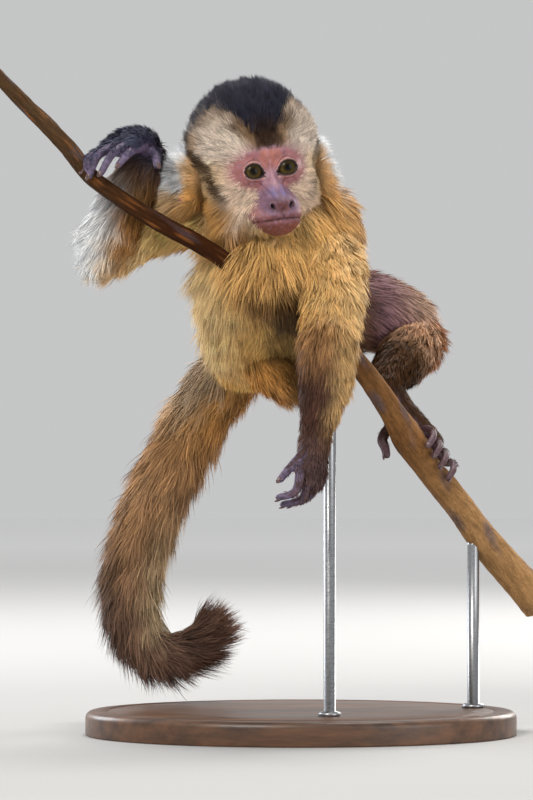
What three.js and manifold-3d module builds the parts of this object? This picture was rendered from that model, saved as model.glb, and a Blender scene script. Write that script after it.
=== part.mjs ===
// A young tufted capuchin monkey, life size, lying over a sloping branch with one arm hooked round it and one
// hanging, as a still display model. The branch is a perch on two short rods that stand on an oval base.
//
// Millimetres, +Z up. The origin is the middle of the base's underside. The monkey faces -Y, its own right
// hand is towards -X, and its tail hangs behind the base's left half.
import * as THREE from "three";
import { mergeVertices } from "three/addons/utils/BufferGeometryUtils.js";
import Module from "manifold-3d";

const wasm = await Module();
wasm.setup();

// ---------------------------------------------------------------- driving dimensions
const GAP = 0.3; // clearance kept between any two nodes
const DEGREE = Math.PI / 180;
const UP = [0, 0, 1];

const BASE = { across: 250, deep: 190, thick: 14, edge: 4 };
const ROD_RADIUS = 3.5;
const ROD_SUNK = 6; // how far each rod stands in the base
const ROD_FEET = [
  [16, -43],
  [101, 23],
];

const HEAD = { at: [-27.4, -55, 334.6], turn: 16, lean: -8, nod: 5 };
const EYE = { radius: 7.6, apart: 10.2, forward: 24.2, down: 10 };

// ---------------------------------------------------------------- vectors and lines
const vec = (x, y, z) => new THREE.Vector3(x, y, z);
const vecOf = ([x, y, z]) => vec(x, y, z);

/** One value of a Catmull-Rom line through the numbers, at place u from 0 to count - 1. */
function smoothValue(numbers, u) {
  const last = numbers.length - 1;
  const i = Math.min(Math.floor(u), last - 1);
  const t = u - i;
  const [a, b, c, d] = [-1, 0, 1, 2].map((k) => numbers[Math.min(Math.max(i + k, 0), last)]);
  return b + 0.5 * t * (c - a + t * (2 * a - 5 * b + 4 * c - d + t * (3 * (b - c) + d - a)));
}

/** The place u (0 to 1) along stations [x, y, z, wide, deep]: centre, half widths and three directions. */
function placeOn(stations, front, u) {
  const s = u * (stations.length - 1);
  const at = (w) => vecOf([0, 1, 2].map((k) => smoothValue(stations.map((p) => p[k]), w)));
  const step = 0.02;
  const centre = at(s);
  const along = at(Math.min(s + step, stations.length - 1)).sub(at(Math.max(s - step, 0))).normalize();
  const side = vec().crossVectors(along, vecOf(front)).normalize();
  return {
    centre,
    along,
    side,
    front: vec().crossVectors(side, along),
    wide: smoothValue(stations.map((p) => p[3]), s),
    deep: smoothValue(stations.map((p) => p[4]), s),
  };
}

/** The point of the oval at an angle (0 is the side, a quarter turn is the front), and the way out there. */
function onOval(place, angle, grow = 0) {
  const [c, s] = [Math.cos(angle), Math.sin(angle)];
  const point = place.centre
    .clone()
    .addScaledVector(place.side, c * (place.wide + grow))
    .addScaledVector(place.front, s * (place.deep + grow));
  const out = vec()
    .addScaledVector(place.side, c / place.wide)
    .addScaledVector(place.front, s / place.deep)
    .normalize();
  return { point, out };
}

// ---------------------------------------------------------------- solids
/** A closed geometry as a solid, turned the right way out. */
function solidOf(geometry) {
  const bare = new THREE.BufferGeometry();
  bare.setAttribute("position", geometry.getAttribute("position"));
  if (geometry.index) bare.setIndex(geometry.index);
  const merged = mergeVertices(bare, 1e-4);
  const positions = merged.getAttribute("position").array;
  const triangles = new Uint32Array(merged.index.array);
  const corner = (i) => vec(positions[3 * i], positions[3 * i + 1], positions[3 * i + 2]);
  let volume = 0;
  for (let i = 0; i < triangles.length; i += 3) {
    volume += corner(triangles[i]).dot(corner(triangles[i + 1]).cross(corner(triangles[i + 2])));
  }
  if (volume < 0) {
    for (let i = 0; i < triangles.length; i += 3) {
      [triangles[i + 1], triangles[i + 2]] = [triangles[i + 2], triangles[i + 1]];
    }
  }
  const kept = [];
  for (let i = 0; i < triangles.length; i += 3) {
    const [a, b, c] = triangles.subarray(i, i + 3);
    if (a !== b && b !== c && c !== a) kept.push(a, b, c);
  }
  const mesh = { numProp: 3, vertProperties: new Float32Array(positions), triVerts: new Uint32Array(kept) };
  return new wasm.Manifold(new wasm.Mesh(mesh));
}

/** Rings of equal size, with a point at each end, as one closed geometry. */
function skinOfRings(first, rings, last) {
  const sides = rings[0].length;
  const points = [first, ...rings.flat(), last];
  const index = [];
  const at = (ring, k) => 1 + ring * sides + (k % sides);
  for (let k = 0; k < sides; k++) {
    index.push(0, at(0, k + 1), at(0, k));
    for (let r = 0; r + 1 < rings.length; r++) {
      index.push(at(r, k), at(r, k + 1), at(r + 1, k));
      index.push(at(r + 1, k), at(r, k + 1), at(r + 1, k + 1));
    }
    index.push(points.length - 1, at(rings.length - 1, k), at(rings.length - 1, k + 1));
  }
  const geometry = new THREE.BufferGeometry().setFromPoints(points);
  geometry.setIndex(index);
  return geometry;
}

/** A limb: oval sections along stations [x, y, z, wide, deep], with a dome on each end. */
function limb(stations, options = {}) {
  const { front = [0, -1, 0], sides = 14, steps = 3, domes = [0.8, 0.8], domeRings = 2, grow = 0 } = options;
  const ring = (place, scale, shift) => {
    const rim = [];
    for (let k = 0; k < sides; k++) {
      const { point } = onOval(place, (2 * Math.PI * k) / sides, grow);
      point.sub(place.centre).multiplyScalar(scale).add(place.centre);
      rim.push(point.addScaledVector(place.along, shift));
    }
    return rim;
  };
  const end = (place, dome, sign) => {
    const rise = dome * (0.5 * (place.wide + place.deep) + grow);
    const rings = [];
    for (let k = 1; k <= domeRings; k++) {
      const angle = (k * 90 * DEGREE) / (domeRings + 1);
      rings.push(ring(place, Math.cos(angle), sign * rise * Math.sin(angle)));
    }
    return { rings, tip: place.centre.clone().addScaledVector(place.along, sign * rise) };
  };
  const count = (stations.length - 1) * steps;
  const places = Array.from({ length: count + 1 }, (_, i) => placeOn(stations, front, i / count));
  const start = end(places[0], domes[0], -1);
  const finish = end(places[count], domes[1], 1);
  const rings = [...start.rings.reverse(), ...places.map((p) => ring(p, 1, 0)), ...finish.rings];
  return skinOfRings(start.tip, rings, finish.tip);
}

/** An ellipsoid at a place, turned by Euler angles in degrees. */
function ellipsoid(at, radii, { turn = [0, 0, 0], rings = 8 } = {}) {
  const geometry = new THREE.SphereGeometry(1, 2 * rings, rings);
  geometry.scale(...radii);
  const angles = turn.map((a) => a * DEGREE);
  geometry.applyMatrix4(new THREE.Matrix4().makeRotationFromEuler(new THREE.Euler(...angles)));
  geometry.translate(...at);
  return geometry;
}

const union = (...solids) => solids.reduce((all, s) => all.add(s));

/** A move of length `by` out from a corner, turned until it leads out of every face that meets there. */
function cornerMove(faces, by) {
  const move = vec(0, 0, 0);
  for (const { normal, angle } of faces) move.addScaledVector(normal, angle);
  move.setLength(by);
  for (let pass = 0; pass < 8; pass++) {
    for (const { normal } of faces) move.addScaledVector(normal, Math.max(0, by / 8 - move.dot(normal)));
  }
  return move.clampLength(0, 1.5 * by);
}

const SLIVER = 1e-3; // faces thinner than this have no direction to trust

/** The solid with its surface moved out by the gap, used to cut a neighbour clear of it. */
function grown(solid, by = GAP) {
  const { numProp, numVert, vertProperties, triVerts } = solid.getMesh();
  const corners = Array.from({ length: numVert }, (_, i) =>
    vec(...vertProperties.subarray(i * numProp, i * numProp + 3)),
  );
  const faces = corners.map(() => []);
  for (let t = 0; t < triVerts.length; t += 3) {
    const ids = [...triVerts.subarray(t, t + 3)];
    const places = ids.map((id) => corners[id]);
    const edges = places.map((place, k) => places[(k + 1) % 3].clone().sub(place));
    const normal = edges[0].clone().cross(edges[1]);
    if (normal.length() < SLIVER * Math.max(...edges.map((edge) => edge.length()))) continue;
    normal.normalize();
    ids.forEach((id, k) => {
      faces[id].push({ normal, angle: Math.PI - edges[k].angleTo(edges[(k + 2) % 3]) });
    });
  }
  const moved = new Float32Array(numVert * 3);
  corners.forEach((corner, i) => corner.clone().add(cornerMove(faces[i], by)).toArray(moved, 3 * i));
  return new wasm.Manifold(new wasm.Mesh({ numProp: 3, vertProperties: moved, triVerts }));
}

/** Six times the volume inside a solid's surface. */
function bulk(solid) {
  const { numProp, vertProperties, triVerts } = solid.getMesh();
  const at = (i) => vec(...vertProperties.subarray(i * numProp, i * numProp + 3));
  let total = 0;
  for (let t = 0; t < triVerts.length; t += 3) {
    total += at(triVerts[t]).dot(at(triVerts[t + 1]).cross(at(triVerts[t + 2])));
  }
  return total;
}

/** The largest closed surface of a solid. */
function largest(solid) {
  const pieces = solid.decompose().map((piece) => ({ piece, size: bulk(piece) }));
  return pieces.reduce((best, s) => (s.size > best.size ? s : best)).piece;
}

/** One cutter for a node made of pieces. Each is grown by itself, as a lock hangs free over its root. */
const cutterOf = (pieces) => union(...pieces.map((piece) => grown(piece)));

/** The solid cut clear of each of the others. */
function clearOf(solid, ...others) {
  return largest(others.reduce((rest, other) => rest.subtract(grown(other)), solid));
}

const HALF_SPACE = 400; // the size of a block that stands for one side of a plane

/** The block on the far side of a plane through a point. */
function beyond(point, along) {
  const geometry = new THREE.BoxGeometry(HALF_SPACE, HALF_SPACE, HALF_SPACE);
  geometry.translate(0, 0, (HALF_SPACE + GAP) / 2);
  geometry.applyQuaternion(new THREE.Quaternion().setFromUnitVectors(vec(0, 0, 1), along));
  geometry.translate(...point.toArray());
  return solidOf(geometry);
}

/** Splits a solid by planes across it into lengths that keep the gap between them. */
function lengths(solid, planes) {
  const pieces = [];
  let rest = solid;
  for (const { point, along } of planes) {
    pieces.push(largest(rest.intersect(beyond(point, along.clone().negate()))));
    rest = rest.intersect(beyond(point, along));
  }
  return [...pieces, largest(rest)];
}

// ---------------------------------------------------------------- locks of hair
/** One flat tapered lock: it leaves its root along `lie`, lifts off the surface and ends in a point. */
function lock(root, normal, lie, { long, wide, thick = 2.4, lift = 3, sunk = 3 }) {
  const along = lie.clone().addScaledVector(normal, -lie.dot(normal)).normalize();
  const side = vec().crossVectors(along, normal);
  const middle = (t) =>
    root
      .clone()
      .addScaledVector(along, long * t)
      .addScaledVector(normal, (lift + sunk) * Math.sin(t * 90 * DEGREE) - sunk);
  const rings = [[0, 0.8, 1], [0.38, 1, 0.9], [0.74, 0.66, 0.5]].map(([t, w, h]) => {
    const corners = [[w * wide, 0], [0, h * thick], [-w * wide, 0]];
    return corners.map(([a, b]) => middle(t).addScaledVector(side, a / 2).addScaledVector(normal, b));
  });
  return solidOf(skinOfRings(middle(-0.12), rings, middle(1)));
}

function geometryOf(solid) {
  const mesh = solid.getMesh();
  const positions = new Float32Array(mesh.numVert * 3);
  for (let i = 0; i < mesh.numVert; i++) {
    positions.set(mesh.vertProperties.subarray(i * mesh.numProp, i * mesh.numProp + 3), 3 * i);
  }
  const geometry = new THREE.BufferGeometry();
  geometry.setAttribute("position", new THREE.BufferAttribute(positions, 3));
  geometry.setIndex(new THREE.BufferAttribute(mesh.triVerts, 1));
  return geometry;
}

/** A lock wherever a ray [from, aim] meets a solid, each lying along lie(point). */
function locksOn(core, rays, lie, pattern) {
  const target = new THREE.Mesh(geometryOf(core), new THREE.MeshBasicMaterial());
  const caster = new THREE.Raycaster();
  return rays.flatMap(([from, aim]) => {
    caster.set(from, aim.clone().normalize());
    const [hit] = caster.intersectObject(target);
    return hit ? [lock(hit.point, hit.face.normal, lie(hit.point), pattern)] : [];
  });
}

const OUTSIDE = 80; // how far out the rays start

/** Rays at rings round a limb: `turns` are places along it, `angles` are degrees round it. */
function raysRound(stations, front, turns, angles) {
  return turns.flatMap((u, row) =>
    angles.map((angle) => {
      const stagger = angles.length > 1 ? ((row % 2) * (angles[1] - angles[0])) / 2 : 0;
      const place = placeOn(stations, front, u);
      const { point, out } = onOval(place, (angle + stagger) * DEGREE);
      return [point.addScaledVector(out, OUTSIDE), out.negate()];
    }),
  );
}

const spread = (from, to, count) =>
  Array.from({ length: count }, (_, i) => (count > 1 ? from + ((to - from) * i) / (count - 1) : from));

// ---------------------------------------------------------------- perch and stand
const BRANCH_LINE = [
  [-175.4, -93, 382.6, 3.8, 3.8],
  [-168.9, -91, 373.9, 3.9, 3.9],
  [-151.5, -88, 355.8, 4.3, 4.3],
  [-131.2, -85, 335.6, 5, 5],
  [-116.5, -82.5, 317.5, 4.9, 4.9],
  [-85.5, -77, 296.6, 5.2, 5.2],
  [-57.5, -71, 281.3, 5.3, 5.3],
  [-29.3, -63, 263.5, 5.5, 5.5],
  [-1, -53, 245.1, 5.8, 5.8],
  [21.9, -41, 225.4, 6.2, 6.2],
  [37.6, -29, 207.8, 6.8, 6.8],
  [51.8, -15, 187.7, 7.3, 7.3],
  [62.5, -5, 171.4, 9.4, 9.4],
  [75, 5, 153.3, 8.2, 8.2],
  [92.4, 17, 132.1, 8.8, 8.8],
  [106.9, 27, 112.5, 9.2, 9.2],
  [126.3, 39, 90.3, 10, 10],
  [141.5, 45, 73.6, 11, 11],
];

const makeBranch = () => solidOf(limb(BRANCH_LINE, { sides: 9, steps: 1, domes: [0, 0], domeRings: 0 }));

function makeBase() {
  const { across, thick, edge, deep } = BASE;
  const radius = across / 2;
  const foot = [[0, 0], [radius - 1, 0], [radius, 1]];
  const profile = [...foot, [radius, thick - edge], [radius - edge, thick], [0, thick]];
  const geometry = new THREE.LatheGeometry(profile.map(([r, z]) => new THREE.Vector2(r, z)), 36);
  geometry.rotateX(90 * DEGREE);
  geometry.scale(1, deep / across, 1);
  return solidOf(geometry);
}

/** A rod from inside the base to the middle of the branch above it. */
function makeRod([x, y]) {
  const after = BRANCH_LINE.findIndex((station) => station[0] > x);
  const [a, b] = [BRANCH_LINE[after - 1], BRANCH_LINE[after]];
  const top = THREE.MathUtils.mapLinear(x, a[0], b[0], a[2], b[2]);
  const foot = BASE.thick - ROD_SUNK;
  const geometry = new THREE.CylinderGeometry(ROD_RADIUS, ROD_RADIUS, top - foot, 14);
  geometry.rotateX(90 * DEGREE);
  geometry.translate(x, y, (top + foot) / 2);
  return solidOf(geometry);
}

// ---------------------------------------------------------------- trunk
const TRUNK_FRONT = [0, -0.75, -0.66];
const TRUNK_LINE = [
  [-18, -40, 300, 31, 27],
  [-16, -37, 285.4, 41, 33],
  [-17, -22, 267.5, 45, 34],
  [-19.5, 1, 249.1, 40, 33],
  [-23, 27, 234, 34, 31],
  [-29, 46, 223, 27, 25],
];
const CHEST_FRONT = { at: [-9, -50, 266], radii: [28, 24, 40], turn: [8, -42, 0] };
const SHOULDERS = { at: [-3, -15, 289], radii: [42, 43, 32], turn: [-38, 0, 0] };
const GROOVE_DROP = 16; // the groove for the branch opens downwards by this much
const NECK_LINE = [
  [-25, -38, 326, 26, 24],
  [-19, -37, 310, 33, 27],
  [-14, -36, 292, 38, 28],
];

/** The trunk, with its breast hanging over the branch in a groove that is open below. */
function makeTrunk() {
  const spine = limb(TRUNK_LINE, { front: TRUNK_FRONT, sides: 16, steps: 2 });
  const masses = [CHEST_FRONT, SHOULDERS].map(({ at, radii, turn }) => {
    return ellipsoid(at, radii, { turn, rings: 6 });
  });
  const body = union(...[spine, ...masses].map(solidOf));
  const groove = BRANCH_LINE.map(([x, y, z, r]) => [x, y, z - GROOVE_DROP, r + GAP, r + GROOVE_DROP]);
  return body.subtract(solidOf(limb(groove, { front: [0, 0, 1], sides: 10, steps: 1 })));
}

// ---------------------------------------------------------------- arms
const RIGHT_ARM = {
  upper: [
    [-46, -35, 296, 19, 17],
    [-62, -38, 296, 17, 15],
    [-84, -43, 290, 15, 13.5],
    [-104, -50, 280, 15, 14],
  ],
  fore: [
    [-110, -52, 277, 15, 14],
    [-106, -54, 288, 16, 14],
    [-99, -56, 306, 15, 13],
    [-91, -57, 326, 12.5, 11],
    [-86, -58, 336, 10, 9],
  ],
};
const LEFT_ARM = {
  upper: [
    [4, -38, 284, 21, 20],
    [14, -50, 273, 22, 20],
    [17, -70, 254, 20.5, 18],
    [16, -84, 238, 18.5, 17],
  ],
  fore: [
    [15, -88, 234, 17.5, 17],
    [13.5, -88, 220, 16.5, 15.5],
    [12, -85, 202, 14.5, 13],
    [8.5, -82, 183, 10.5, 10],
    [6.5, -80, 173, 9, 8.5],
  ],
};

// ---------------------------------------------------------------- legs
const LEFT_LEG = {
  thigh: [
    [-4, 33, 243, 27, 27],
    [18, 41, 246, 27, 27],
    [42, 51, 246, 25, 26],
    [62, 60, 239, 22, 22.5],
  ],
  shank: [
    [68, 57, 230, 20, 20],
    [63, 40, 223, 19, 19],
    [56, 22, 213, 15, 15],
    [49, 7, 205, 10, 10],
  ],
};
const RIGHT_LEG = {
  thigh: [
    [-28, 30, 229, 19, 19],
    [-23, 16, 222, 20, 20],
    [-15, 3, 213, 17.5, 17.5],
    [-9, -4, 206, 15, 15],
  ],
  shank: [
    [-8, -1, 204, 13.5, 13.5],
    [-4, 18, 206, 13.5, 13],
    [2, 38, 208, 12, 12],
    [8.5, 56, 210, 9.5, 9.5],
  ],
};

// ---------------------------------------------------------------- tail
const TAIL_FRONT = [0, -1, 0];
const TAIL_LINE = [
  [-32, 52, 222, 22, 22],
  [-39, 66, 214, 22, 22],
  [-49, 79, 202, 21.5, 21.5],
  [-61.5, 89, 184, 21, 20.5],
  [-75, 94, 159, 20.5, 19.5],
  [-88, 95, 132, 20, 19],
  [-97, 93, 105, 19, 18],
  [-101, 89, 80, 18, 17.5],
  [-98.5, 85, 60, 17.5, 16.5],
  [-89, 81, 47.5, 16.5, 16],
  [-76, 77, 44, 15.5, 15.5],
  [-64, 74, 48, 15, 15],
  [-57.5, 73, 54, 14.5, 14.5],
];

const TAIL_CUTS = [0.27, 0.44, 0.61, 0.775];
const TAIL_COAT = 5.5; // how far the tail's core lies inside its coat
const TAIL_ROWS = { pitch: 0.08, reach: 0.08, around: 5 };
const TAIL_LOCKS = { long: 30, wide: 18, thick: 2.6, lift: 5.6, sunk: 3.4 };
const TIP_LOCKS = { ...TAIL_LOCKS, long: 21, sunk: 2.8 };

// ---------------------------------------------------------------- hands and feet
/** A digit: a tapered tube through joints, thickest at its root. */
function digit(joints, radius, tip = 0.72) {
  const last = joints.length - 1;
  const stations = joints.map((p, i) => {
    const r = radius * (1 + (tip - 1) * (i / last));
    return [...p, r, r];
  });
  return limb(stations, { sides: 5, steps: 1, domeRings: 1, front: [0.3, -1, 0.2] });
}

const RIGHT_HAND = {
  palm: [
    [-85.5, -59, 334, 9, 7.5],
    [-90, -64, 338.5, 10.5, 7.5],
    [-96, -70, 339, 12.5, 6.5],
    [-101, -75, 336, 12.5, 5.5],
  ],
  palmFront: [-0.35, -0.55, 0.75],
  fingers: [
    [[-93, -76, 337], [-97, -88, 332], [-103, -91, 325]],
    [[-98, -78, 337.5], [-106, -91, 331.5], [-112.5, -92, 320.5]],
    [[-104, -78, 337], [-114, -90, 330.5], [-119, -89, 319]],
    [[-110, -76, 335], [-119, -86, 329.5], [-122.5, -86, 322.5]],
  ],
  thumb: [[-87, -66, 336], [-82.5, -74, 331], [-81.5, -77, 325.5]],
};

const LEFT_HAND = {
  palm: [
    [7.5, -80, 174, 8.5, 8],
    [6, -80, 165, 10, 7],
    [5, -81, 156, 12, 6.5],
    [4.5, -82, 151, 11.5, 5.5],
  ],
  palmFront: [0.75, -0.6, 0],
  fingers: [
    [[-1, -91, 155], [-4, -93, 143], [-13.5, -91, 139.5]],
    [[3.5, -86, 152], [0, -87, 139], [-11, -85, 135.5]],
    [[7, -80, 152], [3.5, -80, 140], [-7, -78, 135.5]],
    [[9.5, -74, 154], [6, -73, 142.5], [-2.5, -72, 138]],
  ],
  thumb: [[1, -86, 164], [-6, -91, 157], [-12.5, -92, 149.5]],
};

const LEFT_FOOT = {
  sole: [
    [49, 8, 205, 9.5, 9],
    [55, 13, 192, 10, 8],
    [64, 16, 180, 11, 7.5],
    [73, 17, 170, 11, 7],
  ],
  soleFront: [0.6, 0.6, 0.5],
  toes: [0, 1, 2, 3].map((i) => [
    [71 + 2.6 * i, 14 + 0.8 * i, 172 - 2.4 * i],
    ...wrapped(Array(4).fill(0.716 + 0.02 * i), [104, 66, 30, -4], 4.6),
  ]),
  hallux: [[60, 12, 184], ...wrapped([0.69, 0.69, 0.694, 0.7], [168, 210, 244, 258], 5.5, 8)],
};

const RIGHT_FOOT = {
  sole: [
    [9.5, 60, 209, 8.5, 8.5],
    [10, 62, 197, 9, 8],
    [10.5, 62, 184, 9.5, 6.5],
    [10.5, 60, 174, 9, 5.5],
  ],
  soleFront: [0, 1, 0.1],
  toes: [
    [[4.5, 59, 173], [3.5, 57, 163], [4, 52, 156]],
    [[8.5, 60, 171], [8.2, 58, 161], [8.5, 52, 153]],
    [[12.5, 60, 171], [12.8, 58, 161], [13, 52, 153.5]],
    [[16.5, 60, 173], [17.5, 58, 163], [17.5, 53, 156.5]],
  ],
  hallux: [[6, 57, 190], [4, 50, 183], [5.5, 45, 176]],
};

/** The joints of a digit that wraps round the branch, by places along it and degrees round it. */
function wrapped(places, angles, out, lastOut = out) {
  return places.map((u, i) => {
    const away = i === places.length - 1 ? lastOut : out;
    return onOval(placeOn(BRANCH_LINE, UP, u), angles[i] * DEGREE, away).point.toArray();
  });
}

const DIGIT_RADIUS = { hand: 3.2, thumb: 3.4, foot: 3.1, hallux: 3.8 };

function makeHand({ palm, palmFront, fingers, thumb }) {
  const shapes = [
    limb(palm, { front: palmFront, sides: 8, steps: 1, domeRings: 1 }),
    ...fingers.map((f) => digit(f, DIGIT_RADIUS.hand)),
    digit(thumb, DIGIT_RADIUS.thumb),
  ];
  return shapes.map(solidOf);
}

function makeFoot({ sole, soleFront, toes, hallux }) {
  const shapes = [
    limb(sole, { front: soleFront, sides: 8, steps: 1, domeRings: 1 }),
    ...toes.map((t) => digit(t, DIGIT_RADIUS.foot)),
    digit(hallux, DIGIT_RADIUS.hallux, 0.85),
  ];
  return shapes.map(solidOf);
}

// ---------------------------------------------------------------- head
const HEAD_MATRIX = new THREE.Matrix4().compose(
  vecOf(HEAD.at),
  new THREE.Quaternion().setFromEuler(
    new THREE.Euler(HEAD.nod * DEGREE, HEAD.lean * DEGREE, HEAD.turn * DEGREE, "YZX"),
  ),
  vec(1, 1, 1),
);

// The head's masses in its own frame: +X is its left, -Y its face, +Z its crown. [centre, radii, blend].
const HEAD_MASSES = [
  { at: [0, 7, 3], radii: [39, 38, 40], blend: 0 },
  { at: [0, -3, -26], radii: [29, 24, 21], blend: 10 },
  { at: [16, -11, -21], radii: [15, 14, 15], blend: 8 },
  { at: [-16, -11, -21], radii: [15, 14, 15], blend: 8 },
  { at: [0, -25.5, -33.5], radii: [14, 14.5, 12], blend: 5 },
  { at: [0, -28, -23], radii: [5.5, 9, 13], blend: 5 },
  { at: [0, -21, 1], radii: [22, 11, 8], blend: 7 },
];
const HEAD_HOLLOWS = [
  { at: [11, -35.5, -10.5], radii: [9.5, 6.5, 7.5], blend: 5 },
  { at: [-11, -35.5, -10.5], radii: [9.5, 6.5, 7.5], blend: 5 },
];

/** How far a point lies outside an ellipsoid. */
function ovalDistance(p, { at, radii }) {
  const q = at.map((c, k) => p[k] - c);
  const k0 = Math.hypot(...q.map((x, k) => x / radii[k]));
  const k1 = Math.hypot(...q.map((x, k) => x / radii[k] ** 2));
  return (k0 * (k0 - 1)) / Math.max(k1, 1e-9);
}

/** The nearer of two distances, rounded off where they meet. */
function blended(a, b, blend) {
  const h = Math.max(blend - Math.abs(a - b), 0) / blend;
  return Math.min(a, b) - (h * h * blend) / 4;
}

function headDistance(p) {
  const [first, ...others] = HEAD_MASSES;
  const joined = (d, mass) => blended(d, ovalDistance(p, mass), mass.blend);
  const filled = others.reduce(joined, ovalDistance(p, first));
  return HEAD_HOLLOWS.reduce((d, hollow) => -blended(-d, ovalDistance(p, hollow), hollow.blend), filled);
}

const HEAD_CORE = [0, -4, -12]; // every part of the head's surface is in plain sight of this point
const HEAD_DETAIL = 7;
const FACE_BIAS = [0, -0.5, -0.18]; // gathers the facets towards the face

/** The head's surface point in a direction from its core. */
function headSurface(direction) {
  let [near, far] = [4, 90];
  const at = (r) => HEAD_CORE.map((c, k) => c + direction[k] * r);
  for (let i = 0; i < 26; i++) {
    const middle = (near + far) / 2;
    if (headDistance(at(middle)) < 0) near = middle;
    else far = middle;
  }
  return at(near);
}

function makeSkull() {
  const geometry = new THREE.IcosahedronGeometry(1, HEAD_DETAIL);
  const positions = geometry.getAttribute("position");
  for (let i = 0; i < positions.count; i++) {
    const direction = vec().fromBufferAttribute(positions, i).add(vecOf(FACE_BIAS)).normalize();
    positions.setXYZ(i, ...headSurface(direction.toArray()));
  }
  return geometry;
}

const inHead = (geometry) => solidOf(geometry.applyMatrix4(HEAD_MATRIX));
const SIDES = { left: 1, right: -1 };

/** A point on the eyeball, by degrees across and up from straight ahead. */
function onEye(side, across, up, radius) {
  const [a, u] = [across * DEGREE, up * DEGREE];
  return [
    side * (EYE.apart + radius * Math.sin(a) * Math.cos(u)),
    -EYE.forward - radius * Math.cos(a) * Math.cos(u),
    -EYE.down + radius * Math.sin(u),
  ];
}

/** How far forward the face comes at a place across and up. */
function faceAt(x, z) {
  let [inside, outside] = [-10, -60];
  for (let i = 0; i < 24; i++) {
    const middle = (inside + outside) / 2;
    if (headDistance([x, middle, z]) < 0) inside = middle;
    else outside = middle;
  }
  return inside;
}

/** The rim of one lid, from the eye's inner corner to its outer one. */
function makeLid(side, top, radius) {
  const rim = [
    [-56, -6, 0.8],
    [-32, top * 0.74, 1],
    [0, top, 1],
    [32, top * 0.8, 1],
    [55, 2, 0.8],
  ];
  const stations = rim.map(([a, u, s]) => [...onEye(side, a, u, EYE.radius + 0.2), radius * s, radius * s]);
  return limb(stations, { sides: 5, steps: 1, domeRings: 1, front: [0, 0, 1] });
}

const MOUTH = { half: 14.2, corner: -38.6, middle: -36.6 };

/** A line across the muzzle at the mouth, moved down and out, as limb stations. */
function mouthLine(drop, out, wide, deep, reach = 1) {
  return [-1, -0.7, -0.35, 0, 0.35, 0.7, 1].map((t) => {
    const x = t * MOUTH.half * reach;
    const z = MOUTH.middle + (MOUTH.corner - MOUTH.middle) * t * t + drop * (1 - 0.6 * t * t);
    const ends = 1 - 0.35 * t * t;
    return [x, faceAt(x, z) - out, z, wide * ends, deep * ends];
  });
}

function makeFace() {
  const lids = Object.values(SIDES).flatMap((s) => [makeLid(s, 38, 1.6), makeLid(s, -36, 1.4)]);
  const lips = [mouthLine(2.1, -1.3, 2.3, 2.3, 0.94), mouthLine(-2.3, -1.2, 2.5, 2.5, 0.86)];
  const nosePad = ellipsoid([0, -37.2, -28.4], [6, 4.4, 3.8], { rings: 5 });
  const wings = Object.values(SIDES).map((s) => {
    return ellipsoid([s * 5, -36, -28.6], [3.2, 4.2, 3.2], { rings: 4 });
  });
  const cuts = [
    limb(mouthLine(0, 0.6, 0.6, 3), { sides: 6, steps: 1, domeRings: 1 }),
    ...Object.values(SIDES).map((s) =>
      ellipsoid([s * 5.9, -39.4, -29.4], [1.4, 3.6, 1], { turn: [0, s * 25, s * -30], rings: 4 }),
    ),
  ];
  const lipRims = lips.map((line) => limb(line, { sides: 6, steps: 1, domeRings: 1 }));
  const pieces = [makeSkull(), ...lids, ...lipRims, nosePad, ...wings];
  return cuts.reduce((rest, cut) => rest.subtract(inHead(cut)), union(...pieces.map(inHead)));
}

const makeEye = (side) =>
  ellipsoid([side * EYE.apart, -EYE.forward, -EYE.down], Array(3).fill(EYE.radius), { rings: 6 });

const EAR = { out: 37.5, back: 7, down: 13, tall: 14, wide: 10.5, flare: 28 };

/** A thin oval dish, hollow side out, hinged forward of the ear hole and flaring at the back. */
function makeEar(side) {
  const profile = [[0, -1.4], [0.6, -0.9], [0.94, 1.4], [1, 3.6], [0.92, 4.2], [0.66, 1.8], [0, 0.5]];
  const points = profile.map(([r, z]) => new THREE.Vector2(r, z));
  const geometry = new THREE.LatheGeometry(points, 12);
  geometry.rotateX(90 * DEGREE);
  geometry.scale(EAR.wide, EAR.tall, 1);
  geometry.rotateX(90 * DEGREE);
  geometry.rotateZ(side * (90 - EAR.flare) * DEGREE);
  geometry.rotateX(-12 * DEGREE);
  geometry.translate(side * EAR.out, EAR.back, -EAR.down);
  return inHead(geometry);
}

// ---------------------------------------------------------------- the coat's longer locks
const ARM_FRONT = [0, -1, 0];
const LEG_FRONT = [0, -0.3, 1];
const LIMB_DETAIL = { sides: 12, steps: 1, domeRings: 1 };

/** A limb with any locks it has, at `turns` along it and `angles` round it, lying along `lie`, as pieces. */
function haired(stations, front, locks) {
  const core = solidOf(limb(stations, { ...LIMB_DETAIL, front }));
  if (!locks) return [core];
  const { turns, angles, lie, pattern } = locks;
  return [core, ...locksOn(core, raysRound(stations, front, turns, angles), () => vecOf(lie), pattern)];
}

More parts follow.
